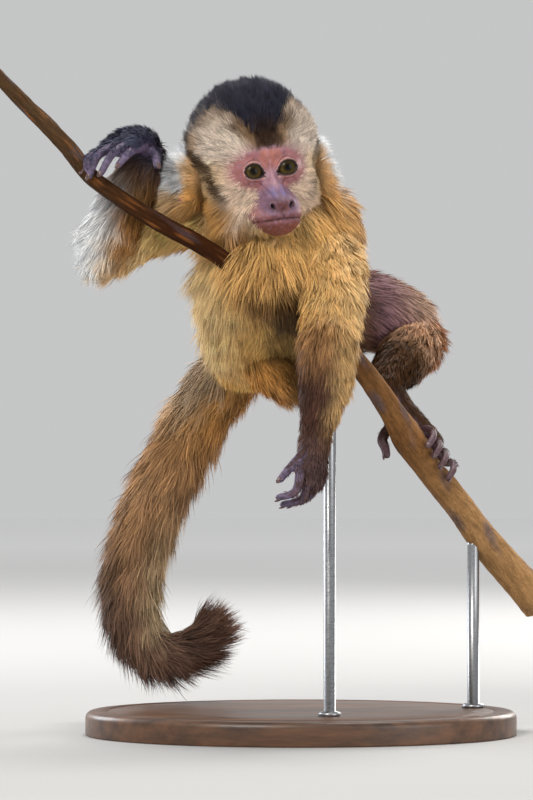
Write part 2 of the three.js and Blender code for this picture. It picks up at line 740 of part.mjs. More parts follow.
const FRINGE = { long: 20, wide: 12, thick: 2.4, lift: 4, sunk: 3 };
const LONG_FRINGE = { ...FRINGE, lift: 6 };
const ARM_HAIR = {
  right: {
    upper: { turns: [0.5, 0.85], angles: [150, 195], lie: [-0.8, 0, -1], pattern: LONG_FRINGE },
    fore: { turns: [0.04, 0.3], angles: [145, 185, 225], lie: [-0.7, 0, -1], pattern: LONG_FRINGE },
  },
  left: {
    upper: { turns: [0.3, 0.7], angles: [125, 165, 205], lie: [0.15, -0.3, -1], pattern: FRINGE },
    fore: { turns: [0.1, 0.35, 0.6], angles: [150, 190], lie: [0.2, 0, -1], pattern: FRINGE },
  },
};
const LEG_HAIR = {
  left: {
    thigh: { turns: [0.4, 0.75], angles: [60, 110], lie: [1, 0, -0.5], pattern: FRINGE },
    shank: { turns: [0.06, 0.36], angles: [190, 235, 280], lie: [0, -0.5, -1], pattern: FRINGE },
  },
  right: {
    thigh: { turns: [0.9], angles: [215, 265], lie: [0.2, -0.3, -1], pattern: FRINGE },
  },
};

/** Rays from in front of the breast, in rows across it. */
function breastRays() {
  const rows = [284, 267, 251];
  return rows.flatMap((z, row) =>
    spread(-38 + 12 * row, 6 + 8 * row, 4).map((x) => [vec(x, -160, z), vec(0, 1, 0)]),
  );
}

const backRays = (from, to) => raysRound(TRUNK_LINE, TRUNK_FRONT, spread(from, to, 2), [210, 270, 330]);
const BACK_LOCKS = { long: 26, wide: 22, thick: 2.4, lift: 3, sunk: 3 };
const BACK_LIE = vec(-0.1, 0.8, -0.6);
const onBack = (piece, from, to) => locksOn(piece, backRays(from, to), () => BACK_LIE, BACK_LOCKS);
const TRUNK_LOCKS = {
  chest: (piece) => {
    const fan = (point) => vec((point.x + 20) / 90, -0.1, -1);
    return locksOn(piece, breastRays(), fan, { long: 25, wide: 15, thick: 2.4, lift: 3.5, sunk: 3 });
  },
  belly: (piece) => onBack(piece, 0.44, 0.58),
  hips: (piece) => onBack(piece, 0.76, 0.88),
};

const turned = (direction) => direction.transformDirection(HEAD_MATRIX);

/** A ray, in the head's own frame, that comes in from a direction to its core. */
function headRay(direction) {
  const out = vecOf(direction).normalize();
  const from = vecOf(HEAD_CORE).addScaledVector(out, OUTSIDE).applyMatrix4(HEAD_MATRIX);
  return [from, turned(out).negate()];
}

const RUFF = { long: 17, wide: 14, thick: 2.2, lift: 4.5, sunk: 2.5 };
const TEMPLE_TUFT = { long: 19, wide: 10, thick: 2, lift: 5, sunk: 2 };

/** The cheeks' ruff, which sweeps out and back from the jaw, and the tuft before each ear. */
function ruffOn(face) {
  const ray = (side, a, back) => headRay([side * Math.sin(a * DEGREE), back, -Math.cos(a * DEGREE)]);
  return Object.values(SIDES).flatMap((side) => {
    const cheeks = [-0.2, 0.25].flatMap((back, row) =>
      spread(28 + 10 * row, 68 + 4 * row, 3).map((a) => ray(side, a, back)),
    );
    const temples = spread(82, 112, 3).map((a) => ray(side, a, -0.14));
    return [
      ...locksOn(face, cheeks, () => turned(vec(side * 0.3, 0.6, -0.75)), RUFF),
      ...locksOn(face, temples, () => turned(vec(side * 0.5, 0.9, 0.3)), TEMPLE_TUFT),
    ];
  });
}

const cutAt = (stations, front, u) => {
  const { centre, along } = placeOn(stations, front, u);
  return { point: centre, along };
};

/** The parts of the pieces that lie between one cut and the next. */
function between(pieces, cuts, i) {
  const behind = i > 0 ? [beyond(cuts[i - 1].point, cuts[i - 1].along)] : [];
  const ahead = i < cuts.length ? [beyond(cuts[i].point, cuts[i].along.clone().negate())] : [];
  return pieces.map((piece) => [...behind, ...ahead].reduce((rest, block) => rest.intersect(block), piece));
}

/** Locks all round one length of the tail, in rows that end before its far cut. */
function tailLocks(piece, i) {
  const from = [0.04, ...TAIL_CUTS][i];
  const isTip = i === TAIL_CUTS.length;
  const pattern = isTip ? TIP_LOCKS : TAIL_LOCKS;
  const last = isTip ? 0.97 : TAIL_CUTS[i] - TAIL_ROWS.reach;
  const turns = spread(from + 0.012, last, Math.max(2, Math.round((last - from) / TAIL_ROWS.pitch)));
  const lie = (point) => {
    const places = turns.map((u) => placeOn(TAIL_LINE, TAIL_FRONT, u));
    const gap = (place) => place.centre.distanceTo(point);
    return places.reduce((best, place) => (gap(place) < gap(best) ? place : best)).along;
  };
  const angles = spread(0, 360 - 360 / TAIL_ROWS.around, TAIL_ROWS.around);
  return locksOn(piece, raysRound(TAIL_LINE, TAIL_FRONT, turns, angles), lie, pattern);
}

// ---------------------------------------------------------------- nodes, from what carries to what grows
const COLOURS = {
  wood: { color: 0x5c4636, roughness: 0.85, metalness: 0 },
  base: { color: 0x3a2a20, roughness: 0.45, metalness: 0 },
  steel: { color: 0x8d8f92, roughness: 0.35, metalness: 1 },
  golden: { color: 0xb88d57, roughness: 0.9, metalness: 0 },
  cream: { color: 0xd8c3a0, roughness: 0.9, metalness: 0 },
  brown: { color: 0x5d4436, roughness: 0.9, metalness: 0 },
  dark: { color: 0x3b2d2b, roughness: 0.9, metalness: 0 },
  skin: { color: 0x54434c, roughness: 0.6, metalness: 0 },
  eye: { color: 0x2a1a0c, roughness: 0.08, metalness: 0 },
};

const root = new THREE.Group();
const monkey = new THREE.Group();
const stand = new THREE.Group();
root.add(stand, monkey);

/** Puts a solid into a group as a named mesh, placed by the middle of its box. */
function addNode(group, name, solid, look) {
  const geometry = geometryOf(solid);
  geometry.computeBoundingBox();
  const middle = geometry.boundingBox.getCenter(vec());
  geometry.translate(-middle.x, -middle.y, -middle.z);
  geometry.computeVertexNormals();
  const node = new THREE.Mesh(geometry, new THREE.MeshStandardMaterial(COLOURS[look]));
  node.name = name;
  node.position.copy(middle);
  group.add(node);
}

const branch = makeBranch();
const base = makeBase();
const rods = ROD_FEET.map((foot) => makeRod(foot));
addNode(stand, "stand_base", clearOf(base, ...rods), "base");
rods.forEach((rod, i) => {
  addNode(stand, `stand_rod_${i + 1}`, clearOf(rod, branch), "steel");
});
addNode(stand, "perch_branch", branch, "wood");

const made = [grown(branch)];

/** Adds a node made of pieces, cut clear of every node added before it. */
function add(name, pieces, look) {
  const rest = made.reduce((solid, cutter) => solid.subtract(cutter), union(...pieces));
  addNode(monkey, name, largest(rest), look);
  made.push(cutterOf(pieces));
}

add("neck", [solidOf(limb(NECK_LINE, { sides: 12, steps: 1, domeRings: 1 }))], "golden");
for (const [n, side] of Object.entries(SIDES)) {
  add(`eye_${n}`, [inHead(makeEye(side))], "eye");
  add(`ear_${n}`, [makeEar(side)], "skin");
}

const trunk = clearOf(makeTrunk(), branch);
const trunkCuts = [0.42, 0.74].map((u) => cutAt(TRUNK_LINE, TRUNK_FRONT, u));
lengths(trunk, trunkCuts).forEach((piece, i) => {
  const name = ["chest", "belly", "hips"][i];
  add(name, between([piece, ...TRUNK_LOCKS[name](piece)], trunkCuts, i), "golden");
});
const face = makeFace();
add("head", [face, ...ruffOn(face)], "cream");

for (const [n, arm, hand] of [["right", RIGHT_ARM, RIGHT_HAND], ["left", LEFT_ARM, LEFT_HAND]]) {
  add(`upper_arm_${n}`, haired(arm.upper, ARM_FRONT, ARM_HAIR[n].upper), "cream");
  add(`forearm_${n}`, haired(arm.fore, ARM_FRONT, ARM_HAIR[n].fore), "brown");
  add(`hand_${n}`, makeHand(hand), "skin");
}
for (const [n, leg, foot] of [["left", LEFT_LEG, LEFT_FOOT], ["right", RIGHT_LEG, RIGHT_FOOT]]) {
  add(`thigh_${n}`, haired(leg.thigh, LEG_FRONT, LEG_HAIR[n].thigh), "brown");
  add(`shank_${n}`, haired(leg.shank, LEG_FRONT, LEG_HAIR[n].shank), "brown");
  add(`foot_${n}`, makeFoot(foot), "dark");
}

const tail = solidOf(limb(TAIL_LINE, { front: TAIL_FRONT, sides: 8, steps: 1, grow: -TAIL_COAT }));
const tailCuts = TAIL_CUTS.map((u) => cutAt(TAIL_LINE, TAIL_FRONT, u));
lengths(tail, tailCuts).forEach((piece, i) => {
  add(`tail_${i + 1}`, between([piece, ...tailLocks(piece, i)], tailCuts, i), "brown");
});

export default root;
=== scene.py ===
"""A still, life-size young capuchin monkey on its branch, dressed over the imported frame.

It has one skin, nine pieces of coat, two eyes, its nails, the branch and the stand. Every length
is in millimetres until a mesh is made, and every random number comes from a fixed seed.
"""

import math

import bmesh
import bpy
import numpy as np
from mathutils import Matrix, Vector, kdtree


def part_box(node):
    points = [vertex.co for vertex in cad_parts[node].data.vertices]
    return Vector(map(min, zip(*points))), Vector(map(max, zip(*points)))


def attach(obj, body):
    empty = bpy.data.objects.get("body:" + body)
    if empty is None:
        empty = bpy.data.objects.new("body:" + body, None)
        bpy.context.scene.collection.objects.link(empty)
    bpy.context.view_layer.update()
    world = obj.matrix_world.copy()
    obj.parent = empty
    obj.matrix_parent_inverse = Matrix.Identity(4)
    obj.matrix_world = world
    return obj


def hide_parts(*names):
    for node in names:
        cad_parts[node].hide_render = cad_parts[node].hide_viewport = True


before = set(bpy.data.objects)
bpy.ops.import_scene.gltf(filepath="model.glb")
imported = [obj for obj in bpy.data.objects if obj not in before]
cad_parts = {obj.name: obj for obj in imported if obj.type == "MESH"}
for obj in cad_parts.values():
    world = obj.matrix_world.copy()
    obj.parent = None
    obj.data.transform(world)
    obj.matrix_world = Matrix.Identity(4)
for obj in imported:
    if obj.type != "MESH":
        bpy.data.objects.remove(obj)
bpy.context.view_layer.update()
rng = np.random.default_rng(11)
MM = 0.001

# ---------------------------------------------------------------- camera, light and floor
CAMERA_AT = (-20.0, -2485.0, 194.0)
FRAME_HEIGHT, FRAME_AWAY, SENSOR = 448.0, 2400.0, 36.0
WORLD_COLOUR, WORLD_STRENGTH = (0.93, 0.935, 0.94, 1), 0.6
WARM = (1.0, 0.97, 0.93)
LAMPS = {  # name: place and width in metres, watts, colour
    "key": ((-0.75, -1.5, 1.35), 0.8, 24, (1.0, 0.95, 0.87)),
    "fill": ((1.5, -1.3, 0.55), 1.2, 10, WARM),
    "top": ((0.15, 0.35, 1.7), 0.7, 18, WARM),
    "rim": ((0.9, 1.3, 0.75), 0.8, 14, (1.0, 0.97, 0.92)),
    "back_left": ((-1.2, 0.9, 0.7), 0.8, 14, (0.93, 0.96, 1.0)),
}
LAMPS_FACE = Vector((0, 0, 0.2))
FLOOR_SIZE = 9000.0


def linked(made):
    bpy.context.scene.collection.objects.link(made)
    return made


def make_camera():
    """The photograph's view: level, from well in front, with a long lens."""
    data = bpy.data.cameras.new("camera")
    data.sensor_width = SENSOR
    data.lens = SENSOR * FRAME_AWAY / FRAME_HEIGHT
    camera = linked(bpy.data.objects.new("camera", data))
    camera.location = [v * MM for v in CAMERA_AT]
    camera.rotation_euler = (math.radians(90), 0, 0)
    bpy.context.scene.camera = camera


def make_lamp(name, at, size, power, colour):
    """A soft lamp that faces the middle of the model."""
    data = bpy.data.lights.new(name, "AREA")
    data.shape, data.size, data.energy, data.color = "DISK", size, power, colour
    lamp = linked(bpy.data.objects.new(name, data))
    lamp.location = at
    lamp.rotation_euler = (LAMPS_FACE - Vector(at)).to_track_quat("-Z", "Y").to_euler()


def make_studio():
    world = bpy.data.worlds.new("studio")
    world.use_nodes = True
    background = world.node_tree.nodes["Background"]
    background.inputs["Color"].default_value = WORLD_COLOUR
    background.inputs["Strength"].default_value = WORLD_STRENGTH
    bpy.context.scene.world = world
    for name, settings in LAMPS.items():
        make_lamp(name, *settings)
    bpy.context.scene.view_settings.view_transform = "Standard"
    floor = mesh_object("floor", *grid_plane(FLOOR_SIZE, 12), 1.0)
    floor.data.materials.append(floor_material())


# ---------------------------------------------------------------- small mathematics
def unit(v):
    return v / np.maximum(np.linalg.norm(v, axis=-1, keepdims=True), 1e-9)


def dot(a, b):
    return (a * b).sum(-1)


def ramp(x, low, high):
    """0 below low, 1 above high, smooth between."""
    t = np.clip((x - low) / (high - low), 0, 1)
    return t * t * (3 - 2 * t)


def fall(x, low, high):
    """1 below low, 0 above high, smooth between."""
    return 1 - ramp(x, low, high)


def layered(rows, *layers):
    """Rows, or one row for all, with others laid over them in turn: each layer is (rows, share)."""
    for over, share in layers:
        rows = rows + (over - rows) * np.asarray(share)[..., None]
    return rows


def stacked(*columns):
    """Columns, each one number or a number a point, as one row a point."""
    return np.stack(np.broadcast_arrays(*columns), 1)


def bell(x, width):
    """1 at 0, falling smoothly to nothing at about twice the width."""
    return np.exp(-((x / width) ** 2))


def flat(v, normal):
    """The part of v that lies along the surface."""
    return unit(v - dot(v, normal)[:, None] * normal)


def catmull(rows, u):
    """Rows of numbers read along a Catmull-Rom line at places u from 0 to 1."""
    last = len(rows) - 1
    s = np.clip(u, 0, 1) * last
    i = np.minimum(s.astype(int), last - 1)
    t = (s - i)[:, None]
    a, b, c, d = (rows[np.clip(i + k, 0, last)] for k in (-1, 0, 1, 2))
    return b + 0.5 * t * (c - a + t * (2 * a - 5 * b + 4 * c - d + t * (3 * (b - c) + d - a)))


def waves(p, size, seed, count=7):
    """Smooth noise between about -1 and 1, with features of a size."""
    own = np.random.default_rng(seed)
    ways = unit(own.normal(size=(count, 3))) * (2 * np.pi / size) * own.uniform(0.6, 1.5, (count, 1))
    return np.sin(p @ ways.T + own.uniform(0, 2 * np.pi, count)).sum(1) / math.sqrt(count)


def turned(axis, degrees):
    """The matrix of a turn about axis 0, 1 or 2."""
    c, s = math.cos(math.radians(degrees)), math.sin(math.radians(degrees))
    i, j = (axis + 1) % 3, (axis + 2) % 3
    matrix = np.eye(3)
    matrix[[i, i, j, j], [i, j, i, j]] = c, -s, s, c
    return matrix


def srgb(*levels):
    """A colour given as 0 to 255 display levels, as the linear numbers that shaders use."""
    c = np.array(levels, float) / 255
    return np.where(c <= 0.04045, c / 12.92, ((c + 0.055) / 1.055) ** 2.4)


# ---------------------------------------------------------------- meshes
def mesh_object(name, points, faces, scale=MM):
    """An object from points and faces, which are rows of three or four indices."""
    mesh = bpy.data.meshes.new(name)
    faces = faces if isinstance(faces, list) else [faces]
    faces = [np.asarray(f, np.int32) for f in faces if len(f)]
    mesh.vertices.add(len(points))
    mesh.vertices.foreach_set("co", (np.asarray(points, np.float32) * scale).ravel())
    sizes = np.concatenate([np.full(len(f), f.shape[1], np.int32) for f in faces])
    starts = np.concatenate([[0], np.cumsum(sizes)[:-1]]).astype(np.int32)
    mesh.loops.add(int(sizes.sum()))
    mesh.loops.foreach_set("vertex_index", np.concatenate([f.ravel() for f in faces]))
    mesh.polygons.add(len(sizes))
    mesh.polygons.foreach_set("loop_start", starts)
    mesh.polygons.foreach_set("use_smooth", np.ones(len(sizes), bool))
    mesh.update(calc_edges=True)
    mesh.validate()
    return linked(bpy.data.objects.new(name, mesh))


def points_of(mesh):
    co = np.empty(len(mesh.vertices) * 3, np.float32)
    mesh.vertices.foreach_get("co", co)
    return co.reshape(-1, 3).astype(float)


def triangles_of(mesh):
    mesh.calc_loop_triangles()
    index = np.empty(len(mesh.loop_triangles) * 3, np.int32)
    mesh.loop_triangles.foreach_get("vertices", index)
    return index.reshape(-1, 3)


def normals_of(points, triangles):
    """Vertex normals, weighted by the faces' areas."""
    a, b, c = (points[triangles[:, k]] for k in range(3))
    face = np.cross(b - a, c - a)
    total = np.zeros_like(points)
    for k in range(3):
        for axis in range(3):
            total[:, axis] += np.bincount(triangles[:, k], face[:, axis], len(points))
    return unit(total)


def smoothed(points, triangles, times, share=None):
    """Points moved towards the middle of their neighbours, wholly or by a share for each."""
    pairs = np.concatenate([triangles[:, [0, 1]], triangles[:, [1, 2]], triangles[:, [2, 0]]])
    pairs = np.unique(np.sort(pairs, 1), axis=0)
    both = np.concatenate([pairs, pairs[:, ::-1]])
    count = np.maximum(np.bincount(both[:, 0], minlength=len(points)), 1)
    share = np.full(len(points), 0.6) if share is None else 0.6 * share
    for _ in range(times):
        near = np.stack([np.bincount(both[:, 0], points[both[:, 1], k], len(points)) for k in range(3)], 1)
        points = points + share[:, None] * (near / count[:, None] - points)
    return points


def grid_plane(size, steps):
    x, y = np.meshgrid(np.linspace(-size / 2, size / 2, steps), np.linspace(-size / 2, size / 2, steps))
    points = np.stack([x.ravel() * MM, y.ravel() * MM, np.zeros(x.size)], 1)
    return points, wrap_faces(steps, steps, False)


def wrap_faces(rings, sides, closed=True):
    """Four-sided faces between rings of points."""
    r, k = np.meshgrid(np.arange(rings - 1), np.arange(sides if closed else sides - 1), indexing="ij")
    a = r * sides + k
    b = r * sides + (k + 1) % sides
    return np.stack([a, b, b + sides, a + sides], -1).reshape(-1, 4)


def closed_faces(rings, sides):
    """A tube of rings closed by a fan to one more point at each end: three- and four-sided faces."""
    count, k = rings * sides, np.arange(sides)
    end = count - sides
    near = np.stack([np.full(sides, count), (k + 1) % sides, k], 1)
    far = np.stack([np.full(sides, count + 1), end + k, end + (k + 1) % sides], 1)
    return np.vstack([near, far]), wrap_faces(rings, sides)


def combined(shells):
    """Several shells of points and three- and four-sided faces, as one."""
    points, threes, fours, start = [], [], [], 0
    for shell_points, shell_threes, shell_fours in shells:
        points.append(shell_points)
        threes.append(np.asarray(shell_threes, int).reshape(-1, 3) + start)
        fours.append(np.asarray(shell_fours, int).reshape(-1, 4) + start)
        start += len(shell_points)
    return np.concatenate(points), [np.concatenate(threes), np.concatenate(fours)]


class Line:
    """Oval sections along a curve through stations [x, y, z, half width, half depth]."""

    def __init__(self, stations, front=(0, -1, 0), coat=0.0, places=40):
        self.u = np.linspace(0, 1, places)
        rows = catmull(np.array(stations, float), self.u)
        self.centre = rows[:, :3]
        inner = coat(self.u) if callable(coat) else coat
        self.wide = np.maximum(rows[:, 3] - inner, 1.0)
        self.deep = np.maximum(rows[:, 4] - inner, 1.0)
        self.along = unit(np.gradient(self.centre, axis=0))
        self.side = unit(np.cross(self.along, np.array(front, float)))
        self.front = np.cross(self.side, self.along)
        self.length = np.linalg.norm(np.diff(self.centre, axis=0), axis=1).sum()

    def shell(self, sides=24, dome=0.8, dome_rings=5):
        """A closed surface, with a dome on each end, as points and faces."""
        angle = np.linspace(0, 2 * np.pi, sides, endpoint=False)
        rings = []

        def ring(i, scale, shift):
            round_it = np.cos(angle)[:, None] * self.wide[i] * self.side[i]
            round_it = round_it + np.sin(angle)[:, None] * self.deep[i] * self.front[i]
            rings.append(self.centre[i] + scale * round_it + shift * self.along[i])

        last = len(self.u) - 1
        rise = [dome * (self.wide[i] + self.deep[i]) / 2 for i in (0, last)]
        turns = np.linspace(0, np.pi / 2, dome_rings + 2)[1:-1]
        for t in turns[::-1]:
            ring(0, math.cos(t), -rise[0] * math.sin(t))
        for i in range(last + 1):
            ring(i, 1, 0)
        for t in turns:
            ring(last, math.cos(t), rise[1] * math.sin(t))
        rings.append(self.centre[0] - rise[0] * self.along[0])
        rings.append(self.centre[last] + rise[1] * self.along[last])
        return np.vstack(rings), *closed_faces(len(rings) - 2, sides)

    def near(self, p):
        """How far points lie outside, their place along and angle round, and the nearest section."""
        index = np.empty(len(p), int)
        for rows in np.array_split(np.arange(len(p)), len(p) // 20000 + 1):
            index[rows] = ((p[rows, None] - self.centre[None]) ** 2).sum(2).argmin(1)
        q = p - self.centre[index]
        a = dot(q, self.side[index]) / self.wide[index]
        b = dot(q, self.front[index]) / self.deep[index]
        t = dot(q, self.along[index])
        last = len(self.u) - 1
        past = np.where(index == 0, np.maximum(-t, 0), np.where(index == last, np.maximum(t, 0), 0))
        c = past / (0.4 * (self.wide[index] + self.deep[index]))
        ratio = np.maximum(np.sqrt(a * a + b * b + c * c), 1e-6)
        across = np.linalg.norm(q - (t * (past == 0))[:, None] * self.along[index], axis=1)
        place = np.clip((index + t * last / self.length) / last, 0, 1)
        return across * (1 - 1 / ratio), place, np.arctan2(b, a), index


class Oval:
    """An ellipsoid turned by Euler angles in degrees, X first."""

    def __init__(self, at, radii, turn, coat=0.0):
        self.at = np.array(at, float)
        self.radii = np.array(radii, float) - coat
        self.turn = turned(0, turn[0]) @ turned(1, turn[1]) @ turned(2, turn[2])

    def shell(self, rings=24, sides=48):
        points, threes, fours = ball(rings, sides)
        return points * self.radii @ self.turn.T + self.at, threes, fours

    def distance(self, p):
        return oval_distance((p - self.at) @ self.turn, np.zeros(3), self.radii)


def ball(rings, sides):
    """A sphere of radius 1 with its poles on Z."""
    tilt = np.linspace(0, np.pi, rings + 1)[1:-1]
    turn = np.linspace(0, 2 * np.pi, sides, endpoint=False)
    x = np.sin(tilt)[:, None] * np.cos(turn)
    y = np.sin(tilt)[:, None] * np.sin(turn)
    z = np.repeat(np.cos(tilt)[:, None], sides, 1)
    points = np.stack([x, y, z], -1).reshape(-1, 3)
    threes, fours = closed_faces(len(tilt), sides)
    return np.vstack([points, [0, 0, 1], [0, 0, -1]]), threes[:, [0, 2, 1]], fours[:, ::-1]


def oval_distance(p, at, radii):
    q = p - np.asarray(at)
    k0 = np.linalg.norm(q / radii, axis=1)
    k1 = np.linalg.norm(q / np.square(radii), axis=1)
    return k0 * (k0 - 1) / np.maximum(k1, 1e-9)


def blended(a, b, blend):
    """The nearer of two distances, rounded off where they meet."""
    h = np.maximum(blend - np.abs(a - b), 0) / blend
    return np.minimum(a, b) - h * h * blend / 4


def through(made, kind, **settings):
    """The object's mesh after one modifier, as a new object; the old one goes."""
    modifier = made.modifiers.new(kind.lower(), kind)
    for key, value in settings.items():
        setattr(modifier, key, value)
    dg = bpy.context.evaluated_depsgraph_get()
    mesh = bpy.data.meshes.new_from_object(made.evaluated_get(dg))
    result = linked(bpy.data.objects.new(made.name + "_" + kind.lower(), mesh))
    bpy.data.objects.remove(made)
    return result


# ---------------------------------------------------------------- the animal's lines
HEAD_AT = np.array([-27.4, -55, 334.6])
HEAD_TURN = turned(1, -8) @ turned(2, 16) @ turned(0, 5)  # its lean, turn and nod
EYE_RADIUS, EYE_APART, EYE_FORWARD, EYE_DOWN = 7.6, 10.2, 24.2, 10.0
HEAD_MASSES = [
    ((0, 7, 3), (39, 38, 40), 0),
    ((0, -3, -26), (29, 24, 21), 10),
    ((16, -11, -21), (15, 14, 15), 8),
    ((-16, -11, -21), (15, 14, 15), 8),
    ((0, -25.5, -33.5), (14, 14.5, 12), 5),
    ((0, -28, -23), (5.5, 9, 13), 5),
    ((0, -21, 1), (22, 11, 8), 7),
]
HEAD_HOLLOWS = [((side * 11, -35.5, -10.5), (9.5, 6.5, 7.5), 5) for side in (1, -1)]
HEAD_CORE = np.array([0, -4.0, -12])
FACE_BIAS = np.array([0, -0.5, -0.18])  # gathers the facets towards the face
MUZZLE_SLANT = 1.7
LID_REACH = 2.6  # how far from the eyeball a point can still belong to its lids
MOUTH_HALF, MOUTH_CORNER, MOUTH_MIDDLE = 14.2, -39.0, -38.0
EAR = {"out": 37.5, "back": 7, "down": 13, "tall": 14, "wide": 10.5, "flare": 28}

TRUNK_FRONT = (0, -0.75, -0.66)
TRUNK_LINE = [
    (-18, -40, 300, 31, 27),
    (-16, -37, 285.4, 41, 33),
    (-17, -22, 267.5, 45, 34),
    (-19.5, 1, 249.1, 40, 33),
    (-23, 27, 234, 34, 31),
    (-29, 46, 223, 27, 25),
]
CHEST = ((-9, -50, 266), (28, 24, 40), (8, -42, 0))
SHOULDERS = ((-3, -15, 289), (42, 43, 32), (-38, 0, 0))
NECK_LINE = [(-25, -38, 326, 26, 24), (-19, -37, 310, 33, 27), (-14, -36, 292, 38, 28)]
ARM_FRONT, LEG_FRONT, TAIL_FRONT = (0, -1, 0), (0, -0.3, 1), (0, -1, 0)
ARMS = {
    "upper_arm_right": [
        (-46, -35, 296, 19, 17), (-62, -38, 296, 17, 15), (-84, -43, 290, 15, 13.5),
        (-104, -50, 280, 15, 14),
    ],
    "forearm_right": [
        (-110, -52, 277, 15, 14), (-106, -54, 288, 16, 14), (-99, -56, 306, 15, 13),
        (-91, -57, 326, 12.5, 11), (-86, -58, 336, 10, 9),
    ],
    "upper_arm_left": [
        (4, -38, 284, 21, 20), (14, -50, 273, 22, 20), (17, -70, 254, 20.5, 18),
        (16, -84, 238, 18.5, 17),
    ],
    "forearm_left": [
        (15, -88, 234, 17.5, 17), (13.5, -88, 220, 16.5, 15.5), (12, -85, 202, 14.5, 13),
        (8.5, -82, 183, 10.5, 10), (6.5, -80, 173, 9, 8.5),
    ],
}
LEGS = {
    "thigh_left": [
        (-4, 33, 243, 27, 27), (18, 41, 246, 27, 27), (42, 51, 246, 25, 26), (62, 60, 239, 22, 22.5),
    ],
    "shank_left": [
        (68, 57, 230, 20, 20), (63, 40, 223, 19, 19), (56, 22, 213, 15, 15), (49, 7, 205, 10, 10),
    ],
    "thigh_right": [
        (-28, 30, 229, 19, 19), (-23, 16, 222, 20, 20), (-15, 3, 213, 17.5, 17.5), (-9, -4, 206, 15, 15),
    ],
    "shank_right": [
        (-8, -1, 204, 13.5, 13.5), (-4, 18, 206, 13.5, 13), (2, 38, 208, 12, 12),
        (8.5, 56, 210, 9.5, 9.5),
    ],
}
TAIL_LINE = [
    (-32, 52, 222, 22, 22), (-39, 66, 214, 22, 22), (-49, 79, 202, 21.5, 21.5),
    (-61.5, 89, 184, 21, 20.5), (-75, 94, 159, 20.5, 19.5), (-88, 95, 132, 20, 19),
    (-97, 93, 105, 19, 18), (-101, 89, 80, 18, 17.5), (-98.5, 85, 60, 17.5, 16.5),
    (-89, 81, 47.5, 16.5, 16), (-76, 77, 44, 15.5, 15.5), (-64, 74, 48, 15, 15),
    (-57.5, 73, 54, 14.5, 14.5),
]
BRANCH_LINE = [
    (-175.4, -93, 382.6, 3.8, 3.8), (-168.9, -91, 373.9, 3.9, 3.9), (-151.5, -88, 355.8, 4.3, 4.3),
    (-131.2, -85, 335.6, 5, 5), (-116.5, -82.5, 317.5, 4.9, 4.9), (-85.5, -77, 296.6, 5.2, 5.2),
    (-57.5, -71, 281.3, 5.3, 5.3), (-29.3, -63, 263.5, 5.5, 5.5), (-1, -53, 245.1, 5.8, 5.8),
    (21.9, -41, 225.4, 6.2, 6.2), (37.6, -29, 207.8, 6.8, 6.8), (51.8, -15, 187.7, 7.3, 7.3),
    (62.5, -5, 171.4, 9.4, 9.4), (75, 5, 153.3, 8.2, 8.2), (92.4, 17, 132.1, 8.8, 8.8),
    (106.9, 27, 112.5, 9.2, 9.2), (126.3, 39, 90.3, 10, 10), (141.5, 45, 73.6, 11, 11),
]
GAP, GROOVE_DROP = 0.3, 16.0  # the room round the branch, and how far its groove opens downwards
BASE_ACROSS, BASE_DEEP, BASE_THICK, BASE_EDGE = 250.0, 190.0, 14.0, 4.0
ROD_RADIUS, ROD_FEET = 3.5, [(16, -43), (101, 23)]
DIGIT = {"hand": (3.2, 3.4), "foot": (3.1, 3.8)}  # a finger's or toe's radius, and the thumb's


def wrapped(places, angles, out, last_out=None):
    """A digit's joints round the branch, by places along it and degrees round it."""
    line = Line(BRANCH_LINE, (0, 0, 1), places=400)
    joints = []
    for i, (place, angle) in enumerate(zip(places, angles)):
        k = round(place * 399)
        away = last_out if last_out is not None and i == len(places) - 1 else out
        a = math.radians(angle)
        across = line.side[k] * math.cos(a) * (line.wide[k] + away)
        joints.append(line.centre[k] + across + line.front[k] * math.sin(a) * (line.deep[k] + away))
    return joints


